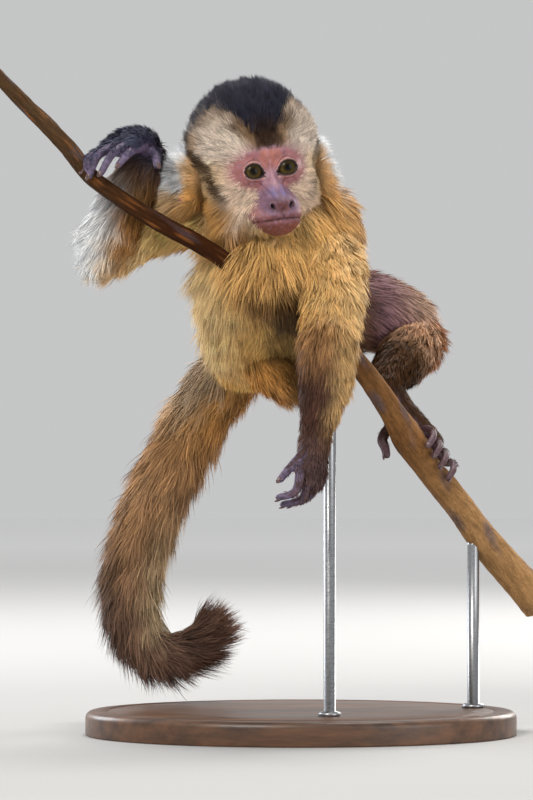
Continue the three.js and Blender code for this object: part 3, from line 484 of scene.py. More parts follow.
HANDS = {
    "hand_right": {
        "palm": [
            (-85.5, -59, 334, 9, 7.5), (-90, -64, 338.5, 10.5, 7.5), (-96, -70, 339, 12.5, 6.5),
            (-101, -75, 336, 12.5, 5.5),
        ],
        "front": (-0.35, -0.55, 0.75),
        "digits": [
            [(-93, -76, 337), (-97, -88, 332), (-103, -91, 325)],
            [(-98, -78, 337.5), (-106, -91, 331.5), (-112.5, -92, 320.5)],
            [(-104, -78, 337), (-114, -90, 330.5), (-119, -89, 319)],
            [(-110, -76, 335), (-119, -86, 329.5), (-122.5, -86, 322.5)],
        ],
        "thumb": [(-87, -66, 336), (-82.5, -74, 331), (-81.5, -77, 325.5)],
    },
    "hand_left": {
        "palm": [
            (7.5, -80, 174, 8.5, 8), (6, -80, 165, 10, 7), (5, -81, 156, 12, 6.5),
            (4.5, -82, 151, 11.5, 5.5),
        ],
        "front": (0.75, -0.6, 0),
        "digits": [
            [(-1, -91, 155), (-4, -93, 143), (-13.5, -91, 139.5)],
            [(3.5, -86, 152), (0, -87, 139), (-11, -85, 135.5)],
            [(7, -80, 152), (3.5, -80, 140), (-7, -78, 135.5)],
            [(9.5, -74, 154), (6, -73, 142.5), (-2.5, -72, 138)],
        ],
        "thumb": [(1, -86, 164), (-6, -91, 157), (-12.5, -92, 149.5)],
    },
    "foot_left": {
        "palm": [
            (49, 8, 205, 9.5, 9), (55, 13, 192, 10, 8), (64, 16, 180, 11, 7.5), (73, 17, 170, 11, 7),
        ],
        "front": (0.6, 0.6, 0.5),
        "digits": [
            [
                (71 + 2.6 * i, 14 + 0.8 * i, 172 - 2.4 * i),
                *wrapped([0.716 + 0.02 * i] * 4, [104, 66, 30, -4], 4.6),
            ]
            for i in range(4)
        ],
        "thumb": [(60, 12, 184), *wrapped([0.69, 0.69, 0.694, 0.7], [168, 210, 244, 258], 5.5, 8)],
    },
    "foot_right": {
        "palm": [
            (9.5, 60, 209, 8.5, 8.5), (10, 62, 197, 9, 8), (10.5, 62, 184, 9.5, 6.5),
            (10.5, 60, 174, 9, 5.5),
        ],
        "front": (0, 1, 0.1),
        "digits": [
            [(4.5, 59, 173), (3.5, 57, 163), (4, 52, 156)],
            [(8.5, 60, 171), (8.2, 58, 161), (8.5, 52, 153)],
            [(12.5, 60, 171), (12.8, 58, 161), (13, 52, 153.5)],
            [(16.5, 60, 173), (17.5, 58, 163), (17.5, 53, 156.5)],
        ],
        "thumb": [(6, 57, 190), (4, 50, 183), (5.5, 45, 176)],
    },
}
TRUNK_NODES = ["neck", "ear_left", "ear_right", "chest", "belly", "hips", "head"]
FLESH = [*TRUNK_NODES, *ARMS, *LEGS, *HANDS, *(f"tail_{i}" for i in range(1, 6))]


def to_head(p):
    """Points of the row frame in the head's own frame: +X its left, -Y its face, +Z its crown."""
    return (p - HEAD_AT) @ HEAD_TURN


def from_head(q):
    return q @ HEAD_TURN.T + HEAD_AT


# ---------------------------------------------------------------- the head's skin
def joined(d, q, ovals):
    """A distance with ovals blended in, each given by its middle, its radii and the blend."""
    for at, radii, blend in ovals:
        d = blended(d, oval_distance(q, at, radii), blend)
    return d


def head_mass(q):
    """The distance outside the head's coat, in its own frame."""
    (at, radii, _), *others = HEAD_MASSES
    d = joined(oval_distance(q, at, radii), q, others)
    return -joined(-d, q, HEAD_HOLLOWS)


def slanted(q):
    """Points of the head with its muzzle put straight: it points a little to the animal's left."""
    x, y, z = q.T
    return stacked(x - MUZZLE_SLANT * ramp(-z, 14, 28) * ramp(-y, 18, 30), y, z)


def both_sides(q):
    """Points of the head as if all were on its left side."""
    return np.abs(q * [1, 0, 0]) + q * [0, 1, 1]


def bare_gap(q):
    """How far a point of the head lies outside the bare face, in mm; less than 0 on it."""
    x, y, z = slanted(q).T
    eyes = (np.hypot(x / 20.5, (z + 9.5) / 10) - 1) * 10
    half = 9.6 + 4.4 * ramp(-z, 22, 36)
    muzzle = (np.hypot(x / half, (z + 32.5) / 15.5) - 1) * 13
    return np.maximum(blended(eyes, muzzle, 5), (y + 25) * 0.7)


CAP_EDGE = {  # the cap's lower edge from the front: how far across, how high
    "across": (0, 4.5, 10.5, 15, 19, 23, 28, 32.5, 36, 40),
    "high": (-3, 7.5, 14.5, 19.5, 24.5, 24.5, 21.5, 14, 4, -8),
}
CAP_EDGE_BEHIND = -6.0


def cap_gap(q):
    """How far a point of the head lies below the dark cap; less than 0 on it."""
    edge = np.interp(np.abs(q[:, 0]), CAP_EDGE["across"], CAP_EDGE["high"])
    return edge + (CAP_EDGE_BEHIND - edge) * ramp(q[:, 1], 4, 30) - q[:, 2]


def coat_depth(q):
    """How far the head's skin lies inside its coat."""
    cap = fall(cap_gap(q), -4, 6)
    return ramp(bare_gap(q), -1, 9) * (2.4 + 2.6 * cap + 1.6 * ramp(q[:, 1], -8, 20))


def eye_middle(side):
    """The middle of an eyeball: side 1 is the animal's left, -1 its right."""
    return np.array([side * EYE_APART, -EYE_FORWARD, -EYE_DOWN])


def eye_angles(q, side):
    """Degrees across (outwards) and up from straight ahead, and the distance, from an eye's middle."""
    v = q - eye_middle(side)
    r = np.maximum(np.linalg.norm(v, axis=1), 1e-6)
    return np.degrees(np.arctan2(side * v[:, 0], -v[:, 1])), np.degrees(np.arcsin(v[:, 2] / r)), r


LID = {  # the opening between the lids, in degrees from straight ahead
    "across": (-55, -44, -32, -18, 0, 16, 28, 36, 40.5),
    "upper": (-18, 2, 22, 31, 34.5, 32, 26, 17, 3),
    "lower": (-18, -24, -29, -32, -32.5, -30, -24, -16, -4),
}
LID_THICK = 0.9


def lid_gap(across, up):
    """Degrees outside the opening between the lids; less than 0 inside it."""
    upper, lower = (np.interp(across, LID["across"], LID[lid]) for lid in ("upper", "lower"))
    beyond = np.maximum(np.maximum(across - LID["across"][-1], LID["across"][0] - across), 0)
    return np.maximum(up - upper, lower - up) + 2 * beyond


def mouth_height(x):
    return MOUTH_MIDDLE + (MOUTH_CORNER - MOUTH_MIDDLE) * (x / MOUTH_HALF) ** 2


MUZZLE_FORMS = [  # nose, chin and the wings of the nostrils: middle, radii, blend
    ((0, -37.4, -29.2), (5.4, 4.4, 3.6), 2.4),
    ((1.2, -26, -38), (10.5, 11.5, 9.6), 4),
    *(((side * 5.2, -36.2, -29.4), (3.0, 4.0, 2.9), 2.0) for side in (1, -1)),
]


def face_skin(q):
    """The distance outside the skin, with closed lids, nose, nostrils, lips and the mouth's line."""
    q = slanted(q)
    d = head_mass(q) + coat_depth(q)
    x, y, z = q.T
    for side in (1, -1):
        away = np.linalg.norm(q - eye_middle(side), axis=1)
        d = blended(d, away - EYE_RADIUS - LID_THICK, 3.2)
    d = joined(d, q, MUZZLE_FORMS)
    level = mouth_height(x)
    inside = np.clip(1 - (np.abs(x) / (MOUTH_HALF + 0.6)) ** 4, 0, 1)
    front = ramp(-y, 12, 24)
    upper, lower, line = bell(z - level - 2.1, 1.7), bell(z - level + 2.4, 2.0), bell(z - level, 0.4)
    d = d - front * inside * (0.8 * upper + 0.9 * lower - 1.1 * line)
    philtrum = bell(x, 0.8) * ramp(z, level, level + 1.2) * fall(z, -33.2, -32)
    d = d + 0.7 * front * philtrum
    for side in (1, -1):
        d = -blended(-d, nostril(q, side), 0.6)
        across, up, _ = eye_angles(q, side)
        for drop, strength in ((12.5, 0.5), (15.6, 0.35)):
            fold = bell(up + 33 + drop + 0.004 * across**2, 3.2) * fall(np.abs(across), 45, 75)
            d = d + strength * fold
    bridge = bell(x, 1.1) * ramp(z, -19, -14) * fall(z, -5, 0) * ramp(-y, 22, 28)
    return d + 0.25 * bridge


def nostril(q, side):
    """The distance outside a comma-shaped nostril."""
    rise = q[:, 2] + 30.6
    curved = q - stacked(side * (0.45 * rise - 0.12 * rise**2), 0, 0)
    return oval_distance(curved, (side * 5.5, -38.8, -30.6), (0.95, 3.5, 1.45))


def ico_sphere(detail):
    data = bpy.data.meshes.new("ico")
    bm = bmesh.new()
    bmesh.ops.create_icosphere(bm, subdivisions=detail, radius=1)
    bm.to_mesh(data)
    bm.free()
    points, triangles = points_of(data), triangles_of(data)
    bpy.data.meshes.remove(data)
    return points, triangles


def head_skin(detail):
    """The head's closed skin as points and triangles in the row frame; lids open on the eyes."""
    ways, triangles = ico_sphere(detail)
    ways = unit(ways + FACE_BIAS)
    near, far = np.full(len(ways), 4.0), np.full(len(ways), 90.0)
    for _ in range(24):
        middle = (near + far) / 2
        inside = face_skin(HEAD_CORE + ways * middle[:, None]) < 0
        near, far = np.where(inside, middle, near), np.where(inside, far, middle)
    q = HEAD_CORE + ways * near[:, None]
    for side in (1, -1):
        across, up, r = eye_angles(q, side)
        open_eye = (q[:, 1] < -EYE_FORWARD + 4) & (r < EYE_RADIUS + LID_REACH)
        sunk = fall(lid_gap(across, up), -5, 0.5) * open_eye
        centre = eye_middle(side)
        q = layered(q, (centre + unit(q - centre) * (EYE_RADIUS - 1.6), sunk))
    return from_head(q), triangles


def lid_rim(side, lid, count=48):
    """The rolled edge of one lid, a thin tube over the eye, as a shell in the row frame."""
    across = np.linspace(LID["across"][0], LID["across"][-1], count)
    up = np.interp(across, LID["across"], LID[lid])
    up[2:-2] = np.convolve(up, np.ones(5) / 5, "valid")
    a, u = np.radians(across), np.radians(up)
    r = EYE_RADIUS + 0.25
    x = side * (EYE_APART + r * np.sin(a) * np.cos(u))
    y = -EYE_FORWARD - r * np.cos(a) * np.cos(u)
    z = -EYE_DOWN + r * np.sin(u)
    thick = 0.62 * (1 - 0.4 * np.abs(np.linspace(-1, 1, count)) ** 3)
    rim = Line(stacked(x, y, z, thick, thick), (0, 0, 1), places=64)
    points, threes, fours = rim.shell(sides=12, dome_rings=2)
    return from_head(points), threes, fours


EAR_PROFILE = [  # from the back's middle over the rim to the hollow's middle: radius, height
    (0, -1.2), (0.35, -1.1), (0.6, -0.8), (0.94, 1.3), (1.0, 2.8), (1.0, 4.2), (0.9, 4.9),
    (0.8, 4.3), (0.68, 2.4), (0.4, 1.0), (0, 0.4),
]


def ear_shell(side, rings=22, sides=56):
    """A thin oval dish with a rolled rim and folds inside, hinged before the ear hole."""
    rows = catmull(np.array(EAR_PROFILE), np.linspace(0, 1, rings + 2))[1:-1]
    turn = np.linspace(0, 2 * np.pi, sides, endpoint=False)
    r = rows[:, 0, None] * (1 + 0.05 * np.cos(2 * turn) - 0.06 * np.sin(turn))
    z = np.repeat(rows[:, 1, None], sides, 1)
    inner = (np.arange(rings) > rings * 0.62)[:, None]
    fold = bell(r - 0.48, 0.1) * (0.6 + 0.4 * np.sin(turn - 0.6))
    z = z + inner * 1.3 * fold
    points = np.stack([r * np.cos(turn) * EAR["wide"], r * np.sin(turn) * EAR["tall"], z], -1)
    ends = [(0, 0, EAR_PROFILE[0][1]), (0, 0, EAR_PROFILE[-1][1])]
    points = np.vstack([points.reshape(-1, 3), ends]) @ turned(0, 90).T
    points = points @ turned(2, side * (90 - EAR["flare"])).T @ turned(0, -12).T
    points = points + np.array([side * EAR["out"], EAR["back"], -EAR["down"]])
    return from_head(points), *closed_faces(rings, sides)


# ---------------------------------------------------------------- the body's skin
def tapered(first, last):
    return lambda u: first + (last - first) * u


COAT_DEPTH = {
    "neck": 4.5,
    "trunk": 6.5,
    "upper_arm_right": 5.0,
    "forearm_right": tapered(4.5, 1.0),
    "upper_arm_left": 5.5,
    "forearm_left": tapered(4.5, 1.0),
    "thigh_left": 5.5,
    "shank_left": tapered(4.5, 1.0),
    "thigh_right": 5.0,
    "shank_right": tapered(4.0, 1.0),
    "tail": tapered(8.5, 7.5),
}
BODY_VOXEL, HAND_VOXEL, HEAD_DETAIL = 2.0, 0.85, 7


def digit_line(joints, radius):
    """A digit's line, thickest at its root."""
    joints = np.array(joints, float)
    last = len(joints) - 1
    size = radius * (1 - 0.26 * np.arange(last + 1) / last)
    return Line(np.column_stack([joints, size, size * 0.94]), (0.3, -1, 0.2), coat=0.25, places=18)


def body_lines():
    lines = {
        "neck": Line(NECK_LINE, ARM_FRONT, COAT_DEPTH["neck"], 16),
        "trunk": Line(TRUNK_LINE, TRUNK_FRONT, COAT_DEPTH["trunk"]),
        "tail": Line(TAIL_LINE, TAIL_FRONT, COAT_DEPTH["tail"], 110),
    }
    for limbs, front in ((ARMS, ARM_FRONT), (LEGS, LEG_FRONT)):
        for name, stations in limbs.items():
            lines[name] = Line(stations, front, COAT_DEPTH[name], 24)
    return lines


def hand_lines(name):
    hand, (radius, thumb) = HANDS[name], DIGIT[name.split("_")[0]]
    digits = [digit_line(d, radius) for d in hand["digits"]] + [digit_line(hand["thumb"], thumb)]
    return [Line(hand["palm"], hand["front"], 0.4, 14), *digits]


LINES = body_lines()
HAND_LINES = {name: hand_lines(name) for name in HANDS}
BREAST = [Oval(*CHEST, coat=6.5), Oval(*SHOULDERS, coat=6.5)]


def breast_distance(p):
    return np.min([oval.distance(p) for oval in BREAST], axis=0)


def remeshed(name, shells, voxel, times):
    made = through(mesh_object(name, *combined(shells), 1.0), "REMESH", mode="VOXEL", voxel_size=voxel)
    points, triangles = points_of(made.data), triangles_of(made.data)
    points = smoothed(points, triangles, times)
    made.data.vertices.foreach_set("co", points.astype(np.float32).ravel())
    made.data.update()
    return made


def groove_shell():
    """The room for the branch in the breast, open downwards."""
    line = [
        (x, y, z - GROOVE_DROP, r + GAP + 0.6, r + GROOVE_DROP) for x, y, z, r, _ in BRANCH_LINE[5:12]
    ]
    return Line(line, (0, 0, 1), places=40).shell(sides=20)


def united(first, second, operation="UNION"):
    made = through(first, "BOOLEAN", object=second, operation=operation, solver="MANIFOLD")
    bpy.data.objects.remove(second)
    return made


def make_skin():
    """One closed skin for the whole animal, in millimetres."""
    shells = [*(line.shell() for line in LINES.values()), *(oval.shell() for oval in BREAST)]
    body = remeshed("body", shells, BODY_VOXEL, 8)
    body = united(body, mesh_object("groove", *combined([groove_shell()]), 1.0), "DIFFERENCE")
    for name, lines in HAND_LINES.items():
        shells = [line.shell(sides=14, dome=0.9) for line in lines]
        body = united(body, remeshed(name, shells, HAND_VOXEL, 3))
    body = united(body, mesh_object("head_skin", *head_skin(HEAD_DETAIL), 1.0))
    for side in (1, -1):
        body = united(body, mesh_object("ear_skin", *combined([ear_shell(side)]), 1.0))
    points, triangles = points_of(body.data), triangles_of(body.data)
    bpy.data.objects.remove(body)
    return points, triangles


def crease_share(p):
    """1 where two stretches of the animal meet, so that the skin can be smoothed over their seam."""
    hands = [np.min([line.near(p)[0] for line in lines], axis=0) for lines in HAND_LINES.values()]
    limbs = np.min([*(line.near(p)[0] for line in LINES.values()), breast_distance(p)], axis=0)
    seams = [np.maximum(np.abs(part), np.abs(limbs)) for part in (face_skin(to_head(p)), *hands)]
    return fall(np.min(seams, axis=0), 1.2, 3.5)


# ---------------------------------------------------------------- markings
# the cap's tip colour: dark hair with a painted blue sheen in it
BLACK, CAP_TIP_SHEEN = srgb(18, 15, 17), srgb(40, 40, 56)
WIDOW, BROW = srgb(52, 31, 17), srgb(92, 60, 34)
GOLD, PALE_GOLD = srgb(206, 152, 80), srgb(236, 200, 138)
CREAM, WHITE = srgb(228, 204, 182), srgb(236, 240, 244)
TAN, BROWN = srgb(192, 150, 104), srgb(116, 80, 50)
# the mauve on this line is a painted sheen for the thigh's forward side, not a hair colour
DARK_BROWN, MAUVE_SHEEN = srgb(64, 42, 28), srgb(158, 120, 132)
PINK, ROSE, LILAC = srgb(168, 118, 118), srgb(146, 90, 92), srgb(148, 114, 132)
INNER_EYE, BRIDGE = srgb(172, 110, 100), srgb(154, 120, 136)
NOSE, NOSE_TIP, LIP = srgb(108, 84, 110), srgb(84, 56, 66), srgb(110, 58, 60)
CHIN_SKIN, MOUTH_DARK = srgb(118, 62, 50), srgb(34, 12, 12)
RIM_PALE, RIM_DARK = srgb(196, 144, 138), srgb(48, 26, 22)
# the hand skin's lilac: partly its own tone, partly a painted sheen
HAND_SKIN, HAND_LILAC_SHEEN = srgb(64, 52, 66), srgb(116, 102, 134)
SIDEBURN = [
    (37, 6, 11), (35.5, -4, 4), (32.5, -11.5, -4), (29.5, -16, -12), (25, -21.5, -21), (23, -22, -26),
]


def path_gap(p, path):
    """The distance from a broken line."""
    path = np.array(path, float)
    best = np.full(len(p), 1e9)
    for a, b in zip(path[:-1], path[1:]):
        t = np.clip((p - a) @ (b - a) / dot(b - a, b - a), 0, 1)
        best = np.minimum(best, np.linalg.norm(p - a - t[:, None] * (b - a), axis=1))
    return best


EAR_TUFT, EAR_TUFT_LEFT = ((40, 9, -3), (9, 10, 15)), ((40, 8, -10), (9, 11, 22))  # the white tufts
BARE_EAR = ((40, 5, -17), (6, 6, 7))  # where the ear's skin shows


def inside_oval(mirrored, at, radii):
    """Below 1 inside an ellipsoid that stands at both sides of the head."""
    return np.linalg.norm((mirrored - np.array(at)) / np.array(radii), axis=1)


def head_coat(p):
    """The head's coat at points of the row frame: lie, length, lift, width, density and colours."""
    q = to_head(p)
    x, y, z = q.T
    across, mirrored = np.abs(x), both_sides(q)
    gap, cap = bare_gap(q), cap_gap(q) + 0.8 * waves(q, 7, 3) + 2.0 * waves(q, 1.3, 4)
    in_tuft = np.where(x < 0, inside_oval(mirrored, *EAR_TUFT), inside_oval(mirrored, *EAR_TUFT_LEFT))
    ear = fall(in_tuft, 0.75, 1.25)
    on_cap = fall(cap, -1.2, 0.8) * (1 - ear)
    burn = path_gap(mirrored, SIDEBURN) - 2.2 * ramp(gap, 2, 9) + 0.9 * waves(q, 1.6, 5)
    burn = fall(burn, 0.3, 3.9) * (1 - 0.7 * ramp(-z, 18, 28))
    low = ramp(-z, 28, 44)
    ruff = ramp(-z, 22, 36) * ramp(-x, 6, 18)
    back = ramp(y, -6, 14)
    under_ear = back * ramp(-z, 8, 22) * (1 - ear)
    over = fringe_share(p)

    lie = (q - np.array([0, -36.0, -15])) * [1, 0.9, 1] + np.array([0, 10.0, 0])
    outward, upward = np.where(x < 0, 18, 11), 8 * ramp(z, -12, 6) - 6 * (x > 0) - 4 * ramp(-z, 6, 16)
    lie = layered(
        lie,
        (lie * [1, 1, 1.6] + [0, 0, 14], on_cap * fall(y, -5, 25)),
        (stacked(np.sign(x) * outward, 9, upward), ear),
        (stacked(np.sign(x) * 20, 4, -12), under_ear * fall(y, 14, 30)),
    )
    lie = lie + stacked(0, -32 * ruff, -30 * low - 20 * ruff)
    long = 3.4 + 3.6 * ramp(gap, 0, 5) + 3.4 * ramp(gap, 4, 12)
    long = long + (9.5 - long) * (on_cap * ramp(gap, 1, 9))
    long = np.maximum(long, np.where(x < 0, 13.0, 10.0) * ear)
    long = long + (5 * low + 15 * ruff) * ramp(gap, 3, 10)
    long = long + 8 * under_ear * (1 - on_cap) + 7 * over * low
    lift = 16 + 30 * on_cap + 18 * ear + 8 * low + 14 * under_ear + 28 * ruff + 6 * over * low
    wide = 0.15 + 0.06 * ramp(gap, 1, 6) + 0.05 * ramp(gap, 4, 14) + 0.06 * low + 0.06 * back
    dense = ramp(gap, -1.5, 4.5) ** 1.4 * (1 - 0.85 * (inside_oval(mirrored, *BARE_EAR) < 1))

    temple = ramp(across, 8, 17) * ramp(z, -14, -2)
    forehead = layered(srgb(142, 112, 82), (srgb(224, 208, 192), np.clip(temple * 1.1, 0, 1)))
    below_cap = fall(cap, 2, 15) * ramp(z, -2, 8) * (1 - on_cap)
    jaw = layered(PALE_GOLD * 0.85, (GOLD, ramp(across, 14, 28)))
    hang = -z + 0.8 * (long - 6)
    golden_jaw = ramp(hang - 0.9 * x, 42, 56) * ramp(hang, 8, 20) * ramp(-x, 8, 16)
    brow = fall(gap, 3, 10) * ramp(z, -3, 2) * fall(across, 4, 10)
    pale_brow = fall(gap, 1, 5) * ramp(z, -6, 0) * ramp(across, 6, 11)
    nape = layered(srgb(236, 204, 160), (srgb(186, 146, 100), ramp(x, 4, 20) * 0.9), (BROWN, ramp(y, 14, 32)))
    colour = layered(
        CREAM,
        (PALE_GOLD, ramp(across, 20, 30) * 0.6),
        (forehead, ramp(z, -10, 2)),
        (srgb(128, 100, 72), below_cap * 0.75),
        (srgb(206, 162, 110), ramp(across, 29, 35) * fall(z, 6, 14) * 0.8),
        (jaw, ramp(-z, 32, 42) * ramp(y, -34, -14)),
        (srgb(204, 152, 84), golden_jaw * ramp(gap, 4, 10) * 0.95),
        (PALE_GOLD, fall(gap, 2, 8) * ramp(-z, 38, 46)),
        (BROW, brow * 0.8),
        (srgb(214, 186, 182), pale_brow * 0.7),
        (nape, back * 0.9),
        (WHITE, ear),
        (srgb(62, 42, 26), burn * np.where(x < 0, 0.95, 0.7) * (1 - ear)),
    )
    widow = fall(across, 3, 9) * fall(z, 6, 18)
    cap_root = layered(BLACK, (WIDOW, np.clip(widow + 0.5 * back, 0, 1)))
    # the cap's tips: dark hair with its painted blue sheen
    cap_tip_sheen = layered(CAP_TIP_SHEEN, (WIDOW, np.clip(widow + 0.35 * back, 0, 1)))
    pale = fall(across + 8 * low, 28, 38)
    root = layered(colour * (0.66 + 0.24 * np.maximum(pale, ear))[:, None], (cap_root, on_cap))
    dark_tip = brow * 0.7 + 0.4 * fall(np.abs(cap), 2, 7) * (1 - on_cap) * ramp(z, 0, 6)
    tip = layered(colour, (cap_tip_sheen, on_cap), (DARK_BROWN, np.clip(dark_tip, 0, 0.8)))
    speck = 0.08 + 0.2 * burn + 0.25 * brow + 0.2 * temple * ramp(z, -8, 8) + 0.2 * below_cap - 0.06 * ear
    return coat_rows(lie @ HEAD_TURN.T, long, lift, wide, dense, root, tip, speck)


LIE, ROOT, TIP = slice(0, 3), slice(8, 11), slice(11, 14)  # columns of a row of coat
LONG, LIFT, WIDE, DENSE, SPECK, COLUMNS = 3, 4, 5, 6, 7, 14


def coat_rows(lie, long, lift, wide, dense, root, tip, speck):
    """One row of numbers a point, so that stretches of coat can be blended."""
    count = len(lie)
    scalars = [np.broadcast_to(c, count)[:, None] for c in (long, lift, wide, dense, speck)]
    root, tip = (np.broadcast_to(c, (count, 3)) for c in (root, tip))
    return np.hstack([unit(lie), *scalars, root, tip])


def shaded(p, colour, size, amount, seed):
    """A colour with soft lighter and darker patches."""
    return colour * (1 + amount * waves(p, size, seed))[:, None]


# The coats along a line take points, their place off the line's middle, the line's way there, the
# place along it from 0 to 1, and the angle round it.
def neck_coat(p, off, along, u, angle):
    front = ramp(np.sin(angle), -0.5, 0.4)
    lie = layered(along + [0, 0.35, 0], (stacked((p[:, 0] + 25) / 55, -0.15, -1), front))
    colour = layered(BROWN, (shaded(p, GOLD, 18, 0.12, 21), front), (TAN, ramp(p[:, 0], 5, 24) * front * 0.7))
    tip = layered(colour * 1.1, (PALE_GOLD, front * 0.4))
    sides = ramp(np.abs(np.cos(angle)), 0.5, 0.9)
    over = front * fringe_share(p)
    long, lift = 16 + 4 * front + 4 * sides + 8 * over, 24 + 10 * sides + 18 * over
    return coat_rows(lie, long, lift, 0.42, 0.75, colour * 0.6, tip, 0.1 + 0.3 * over)


def trunk_coat(p, off, along, u, angle):
    under = ramp(np.sin(angle), -0.4, 0.5)
    side = ramp(-p[:, 0], 24, 50)
    belly = layered(
        srgb(232, 188, 116),
        (srgb(236, 186, 104), ramp(u, 0.35, 0.95)),
        (srgb(232, 206, 156), side * 0.8 * fall(u, 0.75, 1.0)),
    )
    colour = layered(shaded(p, srgb(128, 92, 56), 16, 0.12, 31), (shaded(p, belly, 15, 0.1, 32), under))
    # painted shade in the fold beside the hanging arm
    colour = colour * painted_arm_shade(p)[:, None]
    flank = side * under * fall(u, 0.7, 0.95)
    lie = along + [0, 0, -0.45] + stacked(-0.5 * flank, 0, -0.4 * flank)
    return coat_rows(lie, 17 + 9 * flank, 20 + 18 * flank, 0.42, 0.6, colour * 0.62, colour * 1.12, 0.08)


def painted_arm_shade(p):
    """Painted shade: how much darker the coat is painted in the fold beside the hanging arm."""
    edge = -25 + 0.2 * np.clip(250 - p[:, 2], 0, 60)
    fold = ramp(p[:, 0] - edge, 0, 8) * fall(p[:, 2], 250, 266) * fall(p[:, 1], 10, 40)
    return 1 - 0.62 * fold


def branch_height(x):
    """The height of the perch's middle under or over a place across."""
    line = np.array(BRANCH_LINE)
    return np.interp(x, line[:, 0], line[:, 2])


def fringe_share(p):
    """1 where hair hangs from the breast and jaw over the perch."""
    above = p[:, 2] - branch_height(p[:, 0])
    return ramp(above, 1, 5) * fall(above, 22, 34) * fall(p[:, 0], -16, -6)


def breast_coat(p, normal):
    front = ramp(-normal[:, 1], -0.25, 0.35)
    lie = layered(np.array([0.05, 0.75, -0.65]), (stacked((p[:, 0] + 18) / 60, -0.1, -1), front))
    # painted shadow low on the breast, under its hanging locks and beside the arm: a darker colour and less
    # pale tips there
    low = ramp(-p[:, 2], -276, -264) * ramp(p[:, 0], -34, -24) * fall(p[:, 0], -6, 4)
    gold = layered(
        shaded(p, GOLD, 15, 0.12, 41),
        # the painted shadow's dark colour
        (srgb(88, 56, 24), low * 0.9),
        (srgb(172, 128, 92), ramp(p[:, 0], 10, 30) * 0.8),
    )
    colour = layered(shaded(p, srgb(140, 102, 64), 16, 0.12, 42), (gold, front))
    # painted shade in the fold beside the hanging arm
    colour = colour * painted_arm_shade(p)[:, None]
    tip = layered(colour * 1.1, (PALE_GOLD, front * 0.35 * (1 - 0.8 * low)))
    over = front * fringe_share(p)
    long = 17 + 6 * front + 7 * over - 7 * low - 8 * ramp(p[:, 0], 8, 26) + 2 * over
    return coat_rows(lie, long, 21 + 28 * over, 0.42, 0.75, colour * 0.6, tip, 0.12 + 0.2 * over)


def arm_coat(name, p, off, along, u, angle):
    if name == "upper_arm_right":
        below, rear = ramp(-off[:, 2], 0, 11), ramp(off[:, 1], 2, 9)
        above = (1 - below) * fall(u, 0.6, 0.9)
        colour = layered(
            srgb(240, 212, 160),
            (srgb(232, 172, 92), below * 0.7 * fall(u, 0.6, 0.95)),
            (srgb(236, 200, 118), (1 - below) * fall(u, 0.5, 0.9) * 0.8),
            (srgb(168, 122, 70), rear * fall(u, 0.7, 1.0) * 0.9),
            # white at the elbow's outer edge: partly pale fringe hair, partly painted rim light
            (WHITE, ramp(u, 0.7, 1.0) * ramp(-(p[:, 0] + 104), -6, 8) * 0.8),
        )
        lie, long, lift = along + [-0.1, 0, -0.5], 13 + 4 * u + 5 * above, 24 + 14 * above
        return coat_rows(lie, long, lift, 0.4, 0.85, colour * 0.62, colour * 1.05, 0.12)
    if name == "forearm_right":
        outside = ramp(-off[:, 0], -3, 7)
        inner = layered(srgb(140, 98, 50), (srgb(84, 64, 52), ramp(u, 0.5, 0.95)))
        tan = layered(srgb(216, 186, 146), (srgb(172, 118, 62), ramp(p[:, 0] + 112, 0, 16)))
        # white on the forearm's outer side near the elbow: partly pale fringe hair, partly painted rim light
        colour = layered(tan, (inner, ramp(u, 0.3, 0.62)), (WHITE, outside * fall(u, 0.45, 0.8) * 0.95))
        lie = -0.9 * along + stacked(-0.55 * outside, 0, -0.3)
        long, lift = 16 - 8.5 * ramp(u, 0.35, 1.0), 22 + 20 * outside * fall(u, 0.3, 0.8)
        return coat_rows(lie, long, lift, 0.38, 1.0, colour * 0.62, colour * 1.05, 0.12 + 0.2 * u)
    if name == "upper_arm_left":
        edge = ramp(off[:, 0], -2, 12)
        colour = layered(shaded(p, srgb(214, 172, 108), 14, 0.1, 51), (srgb(222, 190, 138), edge * 0.7))
        lie = along + stacked(0.25 * ramp(p[:, 0], 10, 34), 0, -0.5)
        return coat_rows(lie, 15, 21 + 6 * edge, 0.4, 0.9, colour * 0.58, colour * 1.1, 0.12)
    edge = ramp(off[:, 0], -1, 9)
    inner = layered(srgb(154, 112, 72), (srgb(88, 58, 46), ramp(u, 0.1, 0.42)))
    tan = layered(srgb(212, 174, 118), (srgb(140, 100, 66), ramp(u, 0.45, 1.0)))
    colour = layered(inner, (tan, edge))
    lie, long = along + stacked(0.3 * edge, 0, 0), 13.5 - 6.5 * ramp(u, 0.1, 1.0)
    return coat_rows(lie, long, 20 + 14 * edge, 0.36, 1.0, colour * 0.62, colour * 1.08, 0.15)


